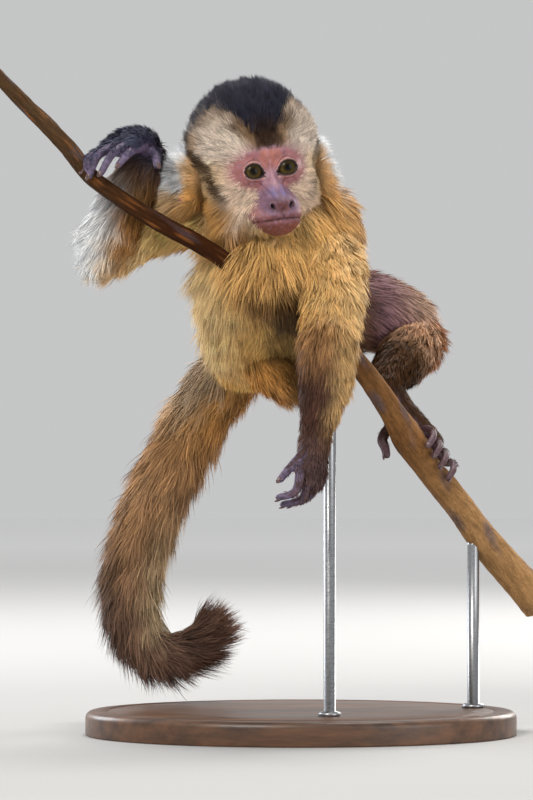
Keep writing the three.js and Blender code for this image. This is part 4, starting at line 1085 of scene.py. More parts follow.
def leg_coat(name, p, off, along, u, angle):
    if name.startswith("thigh"):
        top, sheen_facing = ramp(np.sin(angle), -0.2, 0.8), ramp(-off[:, 1], -4, 10)
        colour = layered(
            srgb(124, 88, 70),
            # painted sheen: a mauve cast on the thigh's forward-facing side
            (MAUVE_SHEEN, ramp(u, 0.35, 0.6) * sheen_facing * 0.85),
            (srgb(140, 102, 34), ramp(236 - p[:, 2], 0, 14) * fall(u, 0.5, 0.8) * 0.8),
            (srgb(196, 164, 136), np.maximum(top * ramp(u, 0.5, 0.9), ramp(p[:, 0], 68, 78)) * 0.8),
            (srgb(196, 152, 116), ramp(240 - p[:, 2], 4, 18) * ramp(u, 0.5, 0.8) * 0.8),
        )
        if name == "thigh_right":
            # painted shade beside the hanging arm on the right thigh
            colour = shaded(p, srgb(196, 140, 72), 12, 0.1, 61) * painted_arm_shade(p)[:, None]
        return coat_rows(along + [0, -0.1, -0.4], 15, 20, 0.42, 0.7, colour * 0.62, colour * 1.1, 0.1)
    colour = layered(srgb(206, 160, 122), (srgb(86, 54, 24), ramp(u, 0.26, 0.6)))
    if name == "shank_right":
        # painted shade beside the hanging arm on the right shank
        colour = colour * painted_arm_shade(p)[:, None]
    long = 12 - 5.5 * u
    return coat_rows(along + [0, 0, -0.25], long, 22, 0.38, 0.85, colour * 0.62, colour * 1.05, 0.1)


def tail_coat(p, off, along, u, angle):
    back = ramp(off[:, 1], -2, 12) * fall(u, 0.4, 0.7)
    right = ramp(off[:, 0], 1, 9) * fall(u, 0.72, 0.84)
    outer = ramp(-off[:, 0], 0, 9)
    colour = layered(
        srgb(206, 152, 86),
        (srgb(174, 134, 94), ramp(u, 0.12, 0.36)),
        (srgb(132, 98, 66), back * 0.8),
        (srgb(124, 94, 74), ramp(u, 0.38, 0.62)),
        (srgb(110, 82, 68), ramp(u, 0.6, 0.8)),
        (srgb(206, 184, 146), right * ramp(u, 0.3, 0.55) * 0.75),
        # grey-tan on the tail's outer edge near its base: partly the hair's colour, partly painted rim light
        (srgb(178, 160, 136), outer * fall(u, 0.16, 0.3) * 0.75),
        (srgb(70, 48, 40), outer * ramp(u, 0.36, 0.6) * 0.65),
    )
    colour = shaded(p, colour, 14, 0.12, 71)
    long = 22 + 5 * ramp(u, 0.1, 0.5) - 3 * ramp(u, 0.9, 1.0)
    lie, lift = along + [0, 0, -0.12], 23 + 7 * ramp(-np.cos(angle), -0.2, 0.8)
    return coat_rows(lie, long, lift, 0.42, 0.85, colour * 0.56, colour * 1.12, 0.16)


BACK_OF_HAND = {
    "hand_right": (-0.3, -0.35, 0.9),
    "hand_left": (0.8, -0.6, 0.2),
    "foot_left": (0.6, 0.2, 0.7),
    "foot_right": (0, 0.9, 0.3),
}
HAND_HAIR = {"hand_right": srgb(62, 64, 86), "hand_left": srgb(86, 64, 60)}
FOOT_HAIR = srgb(88, 60, 38)


def hand_coat(name, p, normal, gaps, places):
    """Short hair on the backs of hands and feet, running to the digits; the pads are bare."""
    owner = gaps.argmin(0)
    along = np.zeros_like(p)
    u = places[0].copy()
    for k, line in enumerate(HAND_LINES[name]):
        rows = owner == k
        along[rows] = line.along[(places[k][rows] * (len(line.u) - 1)).astype(int)]
        u[rows] = places[k][rows]
    back = ramp(dot(normal, unit(np.array(BACK_OF_HAND[name]))), -0.25, 0.35)
    on_palm, raised = owner == 0, name == "hand_right"
    dense = back * np.where(on_palm, 1.3, 0.75 * fall(u, 0.45, 0.75))
    long = np.where(on_palm, 8.0 if raised else 5.5, 3.0)
    hair = HAND_HAIR.get(name, FOOT_HAIR)
    tip = hair * np.where(on_palm, 1.25, 1.35)[:, None]
    return coat_rows(along, long, 30 if raised else 18, 0.26, dense, hair * 0.7, tip, 0.15)


def face_paint(q):
    """The bare face's colours at points of the head with its muzzle put straight."""
    x, y, z = q.T
    wide = np.abs(x)
    inner = fall(wide, 4, 8) * ramp(-y, 24, 28)
    muzzle = fall(z, -23, -18) * fall(np.hypot(x / 13, (z + 28) / 11.5), 0.75, 1.15) * ramp(-y, 18, 26)
    crest = bell(wide - 2.8, 1.8) * ramp(z, -28, -24) * fall(z, -22, -17) * ramp(-y, 26, 32)
    tip = fall(oval_distance(q, (0, -38, -30), (7.6, 5, 4.2)), -0.6, 1.6)
    level = mouth_height(x)
    lips = ramp(-y, 18, 26) * fall(wide, 13, 17)
    seam = bell(z - level, 0.34) * fall(wide, 12, 14.5)
    notch = np.exp(-((x / 0.6) ** 2) - ((z - level) / 0.8) ** 2)
    groove = bell(x, 0.6) * ramp(z, level, level + 1) * fall(z, -33.4, -32.4) * ramp(-y, 30, 34)
    ridge = bell(x, 0.5) * ramp(z, -22, -18) * fall(z, -6, -2) * ramp(-y, 24, 28)
    away = [np.linalg.norm(q - (eye_middle(side) - [0, 6, 0]), axis=1) for side in (1, -1)]
    face = layered(
        PINK,
        (LILAC, ramp(z, -5, 2) * fall(wide, 10, 20)),
        *((ROSE, fall(gap, 9, 15) * 0.75) for gap in away),
        (INNER_EYE, inner * ramp(z, -10, -4) * fall(z, 0, 3)),
        (BRIDGE, inner * fall(z, -12, -8) * 0.85),
        (NOSE, muzzle * 0.85),
        (srgb(126, 118, 168), crest * 0.6),
        (NOSE_TIP, tip * 0.7),
        (srgb(104, 58, 58), tip * fall(wide, 2, 4.6) * fall(z, -30, -27) * 0.8),
        (LIP, lips * ramp(level + 4.2 - z, 0, 2.5) * 0.8),
        (CHIN_SKIN, lips * ramp(level - 1.2 - z, 0, 3) * 0.75),
        (MOUTH_DARK, lips * np.clip(seam + 0.7 * notch, 0, 1) * 0.95),
        (MOUTH_DARK * 1.6, groove * 0.8),
        (srgb(186, 148, 160), ridge * 0.45),
    )
    for side in (1, -1):
        across, up, r = eye_angles(q, side)
        lid = lid_gap(across, up)
        before_eye = (y < -EYE_FORWARD + 1) & (np.abs(across) < 72) & (side * x > 2.2)
        near_eye = (r < EYE_RADIUS + LID_REACH) & before_eye
        crease = np.where(up > -8, 9.5, 14)
        face = layered(
            face,
            (srgb(16, 7, 8), fall(nostril(q, side), -0.1, 0.35)),
            (srgb(84, 42, 40), near_eye * bell(lid - crease, 2.2) * 0.7),
            (RIM_PALE, near_eye * fall(lid, 4.5, 7) * ramp(lid, 1, 2) * 0.8),
            (RIM_DARK * 0.5, near_eye * fall(lid, 0, 1.5)),
        )
    face = layered(
        face,
        (srgb(148, 116, 136), ramp(waves(q, 3.5, 86), 0.2, 1.2) * 0.35),
        (srgb(140, 78, 58), ramp(waves(q, 2.6, 87), 0.3, 1.2) * 0.3),
    )
    return face * (1 + 0.08 * waves(q, 1.5, 81) + 0.06 * waves(q, 5, 82))[:, None]


def skin_paint(p, coat, owner):
    """The bare skin's colour: the face, ears, hands and feet, and a dark ground under the coat."""
    q, head = to_head(p), owner == "head"
    straight = slanted(q)
    colour = layered(coat[:, ROOT] * 0.8, (DARK_BROWN, 0.15))
    face = layered(colour, (face_paint(straight), fall(bare_gap(q), 0, 6)))
    colour = np.where(head[:, None], face, colour)
    mirrored = both_sides(straight)
    ear = (inside_oval(mirrored, (40, 8, -13), (12, 13, 16)) < 1) & head & (mirrored[:, 0] > 33)
    colour = np.where(ear[:, None], shaded(p, srgb(132, 88, 96), 5, 0.12, 83), colour)
    foot = np.char.startswith(owner, "foot")
    limb_end = np.char.startswith(owner, "hand") | foot
    wrinkle = 0.5 + 0.5 * np.sin(p @ np.array([1.1, 0.7, 1.9]) + 1.5 * waves(p, 5, 85))
    hand = layered(
        HAND_SKIN,
        # lilac along the wrinkles: partly the skin's tone, partly a painted sheen
        (HAND_LILAC_SHEEN, np.clip(0.3 + 0.2 * waves(p, 6, 84) + 0.4 * wrinkle, 0, 1)),
        (srgb(86, 52, 36), 0.65 * foot),
    )
    return np.where(limb_end[:, None], hand, colour)


# ---------------------------------------------------------------- the coat over the whole skin
STRETCHES = ["head", "neck", "trunk", "breast", *ARMS, *LEGS, "tail", *HANDS]
LINE_COATS = {"neck": neck_coat, "trunk": trunk_coat, "tail": tail_coat}
SOFTNESS = 2.2  # how far, in mm, one stretch's coat runs into the next
LEAST_WEIGHT = 0.02
HEAD_REACH, BEYOND_HEAD = 75, 60  # no point further from the head's middle is measured to it
EARS = ((40, 10, -13), (11, 12, 15))


def coat_over(p, normal):
    """The blended coat at points with normals, and the stretch that owns each point."""
    gaps = np.empty((len(STRETCHES), len(p)))
    found = {}
    for k, name in enumerate(STRETCHES):
        if name == "head":
            q = to_head(p)
            close = np.linalg.norm(q, axis=1) < HEAD_REACH
            gaps[k] = BEYOND_HEAD
            gaps[k, close] = face_skin(q[close])
            gaps[k] = np.minimum(gaps[k], oval_distance(both_sides(q), *EARS))
        elif name == "breast":
            gaps[k] = breast_distance(p)
        elif name in HANDS:
            found[name] = np.stack([line.near(p)[:2] for line in HAND_LINES[name]], 1)
            gaps[k] = found[name][0].min(0)
        else:
            found[name] = LINES[name].near(p)
            gaps[k] = found[name][0]
    weight = np.exp(-np.clip(gaps - gaps.min(0), 0, 30) / SOFTNESS)
    weight[weight < LEAST_WEIGHT] = 0
    weight /= weight.sum(0)
    total = np.zeros((len(p), COLUMNS))
    for k, name in enumerate(STRETCHES):
        rows = np.flatnonzero(weight[k] > 0)
        if not len(rows):
            continue
        here = p[rows]
        if name == "head":
            made = head_coat(here)
        elif name == "breast":
            made = breast_coat(here, normal[rows])
        elif name in HANDS:
            made = hand_coat(name, here, normal[rows], *found[name][:, :, rows])
        else:
            _, u, angle, index = (column[rows] for column in found[name])
            line = LINES[name]
            spot = (here, here - line.centre[index], line.along[index], u, angle)
            if name in LINE_COATS:
                made = LINE_COATS[name](*spot)
            else:
                made = (arm_coat if name in ARMS else leg_coat)(name, *spot)
        total[rows] += weight[k, rows, None] * made
    return total, np.array(STRETCHES)[gaps.argmin(0)]


def unwrap(p, owner):
    """Each point's place on the unwrap of its own stretch: round it, and along it."""
    uv = np.zeros((len(p), 2))
    for name in STRETCHES:
        rows = np.flatnonzero(owner == name)
        if not len(rows):
            continue
        if name == "head":
            way = unit(to_head(p[rows]) - HEAD_CORE)
            reach = np.arccos(np.clip(-way[:, 1], -1, 1)) / np.pi
            turn = np.arctan2(way[:, 2], way[:, 0])
            uv[rows] = 0.5 + 0.49 * (reach * np.stack([np.cos(turn), np.sin(turn)])).T
        elif name == "breast":
            q = (p[rows] - BREAST[1].at) / 60
            uv[rows] = np.clip(0.5 + 0.45 * stacked(q[:, 0] + 0.6 * q[:, 1], q[:, 2]), 0, 1)
        else:
            line = HAND_LINES[name][0] if name in HANDS else LINES[name]
            _, u, angle, _ = line.near(p[rows])
            uv[rows] = stacked(0.5 + angle / (2 * np.pi), u)
    return uv


TUFTS = {  # lengths of a tuft: where they meet, as shares of it, and how wide it is at all but its tip
    2: (np.array([0, 0.55, 1.0]), np.array([0.9, 0.8])),
    3: (np.array([0, 0.4, 0.75, 1.0]), np.array([0.8, 1.0, 0.62])),
}
CLUMP_OF, CLUMP_REACH = 16, 6  # tufts to a clump, and how far in mm one can lean to it
PATCH = 0.003  # a tuft's size on the map


def leaders(p):
    """For each root, the nearest of the roots that clumps gather round."""
    heads = rng.choice(len(p), max(len(p) // CLUMP_OF, 1), replace=False)
    tree = kdtree.KDTree(len(heads))
    for j in heads:
        tree.insert(p[j], int(j))
    tree.balance()
    return np.fromiter((tree.find(row)[1] for row in p), int, len(p))


def grow_tufts(p, normal, coat, uv, stripes, clump):
    """Thin tapering tufts from roots, of 2 or 3 lengths: points, triangles, colours, patches, normals."""
    count = len(p)
    shares, widths = TUFTS[stripes]
    lie = flat(coat[:, LIE], normal)
    across = np.cross(normal, lie)
    swirl = 0.22 * waves(p, 13, 91) + 0.16 * waves(p, 5, 92) + rng.normal(0, 0.12, count)
    lie = unit(lie * np.cos(swirl)[:, None] + across * np.sin(swirl)[:, None])
    lift = coat[:, LIFT] * (1 + 0.25 * waves(p, 9, 93)) + rng.normal(0, 6, count)
    angle = np.radians(np.clip(lift, 4, 75))
    long = coat[:, LONG] * rng.uniform(0.68, 1.14, count) * (1 + 0.12 * waves(p, 6, 94))
    curl = rng.normal(0, 0.10, count)
    spine = np.empty((len(shares), count, 3))
    for k, s in enumerate(shares):
        bent = angle * (1 - 0.55 * s)
        out = np.sin((angle + bent) / 2) * s
        run = np.cos((angle + bent) / 2) * s
        way = lie * run[:, None] + normal * out[:, None] + across * (curl * s * s)[:, None]
        spine[k] = p + long[:, None] * way
        spine[k, :, 2] -= 0.06 * long * s * s
    spine[0] -= normal * 0.5
    leader = leaders(p)
    pull = clump * rng.uniform(0.4, 1.0, count)
    same = dot(normal, normal[leader]) > 0.5
    pull = np.where(same & (np.linalg.norm(p - p[leader], axis=1) < CLUMP_REACH), pull, 0)
    for k, s in enumerate(shares):
        goal = spine[k][leader] + 0.3 * (p - p[leader])
        spine[k] += (pull * s**1.4)[:, None] * (goal - spine[k])
    way = unit(spine[-1] - spine[0])
    roll = rng.uniform(-1.0, 1.0, count)
    side = unit(np.cross(way, normal))
    flatwise = side * np.cos(roll)[:, None] + np.cross(side, way) * np.sin(roll)[:, None]
    face = np.cross(flatwise, way)
    face = face * np.sign(dot(face, normal))[:, None]
    shade = unit(0.75 * face + 0.65 * normal)
    half = 0.5 * coat[:, WIDE] * rng.uniform(0.75, 1.25, count)
    rows = []
    for k, w in enumerate(widths):
        rows += [spine[k] - flatwise * (half * w)[:, None], spine[k] + flatwise * (half * w)[:, None]]
    rows.append(spine[-1])
    each, last = len(rows), 2 * (len(widths) - 1)
    points = np.stack(rows, 1).reshape(-1, 3)
    pattern = []
    for a in range(0, last, 2):
        pattern += [(a, a + 1, a + 3), (a, a + 3, a + 2)]
    pattern.append((last, last + 1, last + 2))
    triangles = (np.arange(count)[:, None, None] * each + np.array(pattern)[None]).reshape(-1, 3)
    streak = rng.normal(0, 0.15, count)[leader]
    bright = (rng.normal(1.0, 0.11, count) + streak) * (1 + 0.08 * waves(p, 4, 95))
    dark = np.where(rng.random(count) < 0.5, rng.random(count)[leader], rng.random(count))
    bright = np.where(dark < coat[:, SPECK], bright * 0.5, bright)[:, None]
    tints = [layered(coat[:, ROOT], (coat[:, TIP], min(1.0, 0.15 + s) ** 0.8)) * bright for s in shares]
    colours = np.stack([tints[k // 2] for k in range(each)], 1).reshape(-1, 3)
    offsets = [[(k % 2 - 0.5) * PATCH, PATCH * shares[k // 2]] for k in range(each - 1)] + [[0, PATCH]]
    patches = np.clip(uv[:, None] * (1 - 2 * PATCH) + PATCH * 0.5 + np.array(offsets)[None], 0, 1)
    return points, triangles, np.clip(colours, 0, 1), patches.reshape(-1, 2), np.repeat(shade, each, 0)


LEAST_DENSITY = 0.03


def roots_on(points, triangles, density, wanted):
    """Roots spread over the triangles by area and density: which triangle, and the place in it."""
    a, b, c = (points[triangles[:, k]] for k in range(3))
    area = 0.5 * np.linalg.norm(np.cross(b - a, c - a), axis=1)
    share = area * np.maximum(density[triangles].mean(1), 0)
    share[density[triangles].max(1) < LEAST_DENSITY] = 0
    chosen = rng.choice(len(triangles), wanted, p=share / share.sum())
    u, v = rng.random((2, wanted))
    over = u + v > 1
    u, v = np.where(over, 1 - u, u), np.where(over, 1 - v, v)
    return chosen, stacked(1 - u - v, u, v)


def tint(made, colours):
    layer = made.data.color_attributes.new("tint", "FLOAT_COLOR", "POINT")
    four = np.ones((len(colours), 4), np.float32)
    four[:, :3] = colours
    layer.data.foreach_set("color", four.ravel())


def keep_vectors(made, name, rows):
    layer = made.data.attributes.new(name, "FLOAT_VECTOR", "POINT")
    layer.data.foreach_set("vector", rows.astype(np.float32).ravel())


def patch_map(made, patches):
    """The OFBake map, from one place a point."""
    index = np.empty(len(made.data.loops), np.int32)
    made.data.loops.foreach_get("vertex_index", index)
    layer = made.data.uv_layers.new(name="OFBake")
    layer.data.foreach_set("uv", patches[index].astype(np.float32).ravel())


def finished(made, material, slot, *nodes):
    """The object with its material, on the model's one body, in place of nodes of the frame."""
    made.data.materials.append(material)
    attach(made, "root")
    if nodes:
        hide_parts(*nodes)


COATS = {  # piece: (stretches, tufts, lengths of each tuft, slot, how far hairs gather in clumps)
    "coat_face": (["head"], 66000, 2, "coat_head", 0.5),
    "coat_crown": (["head"], 40000, 2, "coat_head", 0.45),
    "coat_breast": (["neck", "breast"], 38000, 3, "coat_golden", 0.42),
    "coat_trunk": (["trunk"], 32000, 3, "coat_golden", 0.5),
    "coat_arm_right": (["upper_arm_right", "forearm_right", "hand_right"], 28000, 3, "coat_cream", 0.5),
    "coat_arm_left": (["upper_arm_left", "forearm_left", "hand_left"], 30000, 3, "coat_golden", 0.5),
    "coat_leg_left": (["thigh_left", "shank_left", "foot_left"], 27000, 3, "coat_brown", 0.5),
    "coat_leg_right": (["thigh_right", "shank_right", "foot_right"], 16000, 3, "coat_brown", 0.5),
    "coat_tail": (["tail"], 38000, 3, "coat_tail", 0.5),
}
CROWN_EDGE = 2.0  # how far back, in the head's frame, the crown's coat takes over from the face's


def make_coat(points, triangles, normals, coat, owner):
    """Every piece of coat, grown from roots on the finished skin."""
    piece_of = {name: piece for piece, (names, *_) in COATS.items() for name in names}
    vertex_piece = np.array([piece_of[name] for name in owner])
    vertex_piece[(owner == "head") & (to_head(points)[:, 1] < CROWN_EDGE)] = "coat_face"
    face_piece = vertex_piece[triangles[:, 0]]
    material = coat_material()
    thin = 1.0
    for piece, (names, wanted, stripes, slot, clump) in COATS.items():
        mine = triangles[face_piece == piece]
        chosen, inside = roots_on(points, mine, coat[:, DENSE], int(wanted * thin))
        corners = mine[chosen]
        p = np.einsum("ij,ijk->ik", inside, points[corners])
        n = unit(np.einsum("ij,ijk->ik", inside, normals[corners]))
        numbers, own = coat_over(p, n)
        uv = unwrap(p, own)
        cell = np.array([names.index(name) if name in names else 0 for name in own])
        uv[:, 0] = (np.clip(uv[:, 0], 0.01, 0.99) + cell) / len(names)
        verts, tris, colours, patches, shade = grow_tufts(p, n, numbers, uv, stripes, clump)
        made = mesh_object(piece, verts, tris)
        tint(made, colours)
        patch_map(made, patches)
        made.data.normals_split_custom_set_from_vertices(shade)
        finished(made, material, slot)


# ---------------------------------------------------------------- materials
def new_material(name, **sockets):
    """A material with its shader's sockets set by name."""
    material = bpy.data.materials.new(name)
    material.use_nodes = True
    tree = material.node_tree
    shader = tree.nodes["Principled BSDF"]
    for key, value in sockets.items():
        shader.inputs[key.replace("_", " ")].default_value = value
    return material, tree, shader


def node(tree, kind, **values):
    """A node with sockets and properties set by name."""
    made = tree.nodes.new(kind)
    for key, value in values.items():
        name = key.replace("_", " ")
        if hasattr(made, key):
            setattr(made, key, value)
        elif name in made.inputs:
            made.inputs[name].default_value = value
    return made


def noise(tree, vector, scale, detail=3.0, roughness=0.55):
    made = node(tree, "ShaderNodeTexNoise", Scale=scale, Detail=detail, Roughness=roughness)
    tree.links.new(vector, made.inputs["Vector"])
    return made.outputs["Fac"]


def value_range(tree, source, low, high, to_low, to_high):
    made = node(tree, "ShaderNodeMapRange")
    tree.links.new(source, made.inputs["Value"])
    for name, value in zip(("From Min", "From Max", "To Min", "To Max"), (low, high, to_low, to_high)):
        made.inputs[name].default_value = value
    return made.outputs["Result"]


def multiplied(tree, colour, factor):
    """A colour made lighter or darker by a number."""
    made = node(tree, "ShaderNodeVectorMath", operation="SCALE")
    tree.links.new(colour, made.inputs[0])
    tree.links.new(factor, made.inputs["Scale"])
    return made.outputs["Vector"]


def bumped(tree, shader, height, strength, distance):
    made = node(tree, "ShaderNodeBump", Strength=strength, Distance=distance)
    tree.links.new(height, made.inputs["Height"])
    tree.links.new(made.outputs["Normal"], shader.inputs["Normal"])


def painted(tree):
    """The colour kept in the mesh."""
    return node(tree, "ShaderNodeVertexColor", layer_name="tint").outputs["Color"]


def kept_vector(tree, name):
    return node(tree, "ShaderNodeAttribute", attribute_name=name).outputs["Vector"]


def object_place(tree, *scale):
    """The place in the object's own frame, scaled along its axes where a scale is given."""
    place = node(tree, "ShaderNodeTexCoord").outputs["Object"]
    if not scale:
        return place
    stretch = node(tree, "ShaderNodeMapping", Scale=scale)
    tree.links.new(place, stretch.inputs["Vector"])
    return stretch.outputs["Vector"]


def colour_ramp(tree, source, stops):
    made = node(tree, "ShaderNodeValToRGB")
    elements = made.color_ramp.elements
    while len(elements) < len(stops):
        elements.new(0.5)
    for element, (at, levels) in zip(elements, stops):
        element.position = at
        element.color = (*srgb(*levels), 1)
    tree.links.new(source, made.inputs[0])
    return made.outputs["Color"]


def coat_material():
    material, tree, shader = new_material("coat", Roughness=0.55, Specular_IOR_Level=0.18)
    fine = value_range(tree, noise(tree, object_place(tree), 900.0, 2.0), 0.3, 0.7, 0.86, 1.12)
    tree.links.new(multiplied(tree, painted(tree), fine), shader.inputs["Base Color"])
    return material


def skin_material():
    material, tree, shader = new_material(
        "skin",
        Specular_IOR_Level=0.4,
        Subsurface_Weight=0.12,
        Subsurface_Radius=(0.003, 0.0012, 0.0008),
        Subsurface_Scale=1.0,
    )
    place = object_place(tree)
    pores = noise(tree, place, 2200.0)
    mottle = value_range(tree, noise(tree, place, 320.0), 0.3, 0.7, 0.9, 1.08)
    tree.links.new(multiplied(tree, painted(tree), mottle), shader.inputs["Base Color"])
    tree.links.new(value_range(tree, pores, 0.3, 0.7, 0.42, 0.6), shader.inputs["Roughness"])
    bumped(tree, shader, pores, 0.35, 0.0004)
    return material


IRIS = [  # from the pupil's middle to the white: how far out, and the display colour
    (0.0, (3, 2, 2)),
    (0.15, (5, 4, 2)),
    (0.25, (36, 28, 10)),
    (0.45, (74, 60, 24)),
    (0.58, (58, 44, 18)),
    (0.68, (20, 13, 7)),
    (0.78, (8, 5, 4)),
    (0.86, (44, 26, 22)),
    (1.0, (100, 70, 60)),
]


def eye_material():
    material, tree, shader = new_material(
        "eye", Roughness=0.3, Specular_IOR_Level=0.04, Coat_Weight=0.2, Coat_Roughness=0.06
    )
    place = kept_vector(tree, "gaze")
    split = node(tree, "ShaderNodeSeparateXYZ")
    tree.links.new(place, split.inputs[0])
    rays = node(tree, "ShaderNodeTexNoise", Scale=9.0, Detail=3.0)
    tree.links.new(place, rays.inputs["Vector"])
    streak = value_range(tree, rays.outputs["Fac"], 0.3, 0.7, 0.65, 1.4)
    # painted shade of the upper lid: the iris darker towards its top and lighter towards its bottom
    shade = value_range(tree, split.outputs[1], -0.4, 0.5, 1.35, 0.45)
    rayed = multiplied(tree, colour_ramp(tree, split.outputs[2], IRIS), streak)
    tree.links.new(multiplied(tree, rayed, shade), shader.inputs["Base Color"])
    return material


def bark_material():
    material, tree, shader = new_material("bark", Specular_IOR_Level=0.12)
    place = kept_vector(tree, "grain")
    streaks = noise(tree, place, 1.0, 5.0, 0.65)
    specks = noise(tree, place, 4.5, 4.0, 0.7)
    shade = value_range(tree, streaks, 0.3, 0.7, 0.6, 1.3)
    fine = value_range(tree, specks, 0.35, 0.7, 0.75, 1.25)
    colour = multiplied(tree, multiplied(tree, painted(tree), shade), fine)
    tree.links.new(colour, shader.inputs["Base Color"])
    tree.links.new(value_range(tree, specks, 0.3, 0.7, 0.72, 0.92), shader.inputs["Roughness"])
    total = node(tree, "ShaderNodeMath", operation="ADD")
    tree.links.new(streaks, total.inputs[0])
    tree.links.new(specks, total.inputs[1])
    bumped(tree, shader, total.outputs[0], 0.7, 0.0012)
    return material


def wood_material():
    material, tree, shader = new_material("base_wood", Coat_Weight=0.2, Coat_Roughness=0.25)
    place = object_place(tree, 6.0, 60.0, 60.0)
    grain = noise(tree, place, 1.6, 6.0, 0.62)
    fibres = noise(tree, place, 9.0, 3.0, 0.6)
    colour = colour_ramp(tree, grain, [(0.3, (52, 34, 24)), (0.7, (112, 76, 50))])
    shade = value_range(tree, fibres, 0.3, 0.7, 0.85, 1.12)
    tree.links.new(multiplied(tree, colour, shade), shader.inputs["Base Color"])
    tree.links.new(value_range(tree, fibres, 0.3, 0.7, 0.34, 0.5), shader.inputs["Roughness"])
    bumped(tree, shader, fibres, 0.12, 0.0003)
    return material


def steel_material():
    material, tree, shader = new_material("rod_steel", Metallic=1.0)
    lines = noise(tree, object_place(tree, 400.0, 400.0, 4000.0), 1.0, 2.0)
    tree.links.new(value_range(tree, lines, 0.3, 0.7, 0.26, 0.4), shader.inputs["Roughness"])
    colour = colour_ramp(tree, lines, [(0.2, (132, 134, 138)), (0.8, (176, 178, 182))])
    tree.links.new(colour, shader.inputs["Base Color"])
    return material


def nail_material():
    material, tree, shader = new_material("nail", Roughness=0.3)
    clouds = noise(tree, object_place(tree), 700.0, 2.0)
    colour = colour_ramp(tree, clouds, [(0.3, (52, 38, 38)), (0.75, (120, 92, 90))])
    tree.links.new(colour, shader.inputs["Base Color"])
    return material


def floor_material():
    material, tree, shader = new_material("floor", Roughness=0.9, Specular_IOR_Level=0.1)
    away = node(tree, "ShaderNodeVectorMath", operation="LENGTH")
    tree.links.new(object_place(tree), away.inputs[0])
    # painted shade: the floor darker towards its middle, under the animal and its lamps, and paler further
    # out
    pale = value_range(tree, away.outputs["Value"], 0.4, 3.2, 0.42, 0.95)
    grey = node(tree, "ShaderNodeCombineColor")
    for socket in grey.inputs[:3]:
        tree.links.new(pale, socket)
    tree.links.new(grey.outputs[0], shader.inputs["Base Color"])
    return material


# ---------------------------------------------------------------- eyes, nails, perch and stand
CORNEA_RISE = 0.075  # as a share of the eyeball's radius


def make_eye(side, name, material):
    """An eyeball with its cornea, and each point's place across the iris as its gaze numbers."""
    points, threes, fours = ball(64, 72)
    tilt = np.degrees(np.arccos(np.clip(points[:, 2], -1, 1)))
    reach = np.clip(np.sin(np.radians(np.minimum(tilt, 90))), 0, 1)
    cornea = CORNEA_RISE * fall(tilt, 12, 42)
    to_camera = unit(to_head(np.array([CAMERA_AT]))[0])
    looks = unit(np.array([side * -0.02, -1, 0.01]) + 0.22 * to_camera)
    right = unit(np.cross(looks, [0, 0, 1]))
    axes = np.stack([right, np.cross(right, looks), looks])
    placed = from_head(points * (EYE_RADIUS * (1 + cornea))[:, None] @ axes + eye_middle(side))
    if np.linalg.det(axes) < 0:
        threes, fours = threes[:, ::-1], fours[:, ::-1]
    made = mesh_object("eyeball_" + name, placed, [threes, fours])
    keep_vectors(made, "gaze", stacked(points[:, 0], points[:, 1], reach))
    finished(made, material, "eye", "eye_" + name)


NAIL_SHAPE = [0.62, 0.95, 0.26]  # half its width, length and height, as shares of the digit's radius


def make_nails():
    """A small curved nail on the back of each digit's end."""
    points, threes, fours = ball(12, 16)
    shells = []
    for line in (line for lines in HAND_LINES.values() for line in lines[1:]):
        tip, along, radius = line.centre[-1], line.along[-1], line.wide[-1]
        outward = unit(line.centre[len(line.u) // 2] - (line.centre[0] + tip) / 2 + 1e-6)
        back = unit(outward - dot(outward, along) * along)
        side = np.cross(along, back)
        shape = points * [radius * share for share in NAIL_SHAPE]
        shape = shape[:, :1] * side + shape[:, 1:2] * along + shape[:, 2:] * back
        shells.append((shape + tip + along * radius * 0.28 + back * radius * 0.78, threes, fours))
    finished(mesh_object("nails", *combined(shells)), nail_material(), "hand_skin")


BRANCH_PLACES, BRANCH_SIDES = 620, 56
KNOTS = [  # place along the branch, angle round it, size
    (0.137, 2.2, 1.0), (0.3, 0.6, 0.7), (0.71, 5.4, 1.3), (0.79, 1.0, 0.9), (0.9, 3.3, 1.0),
]
GRAIN_LENGTH = 5  # mm of branch to a step of its grain


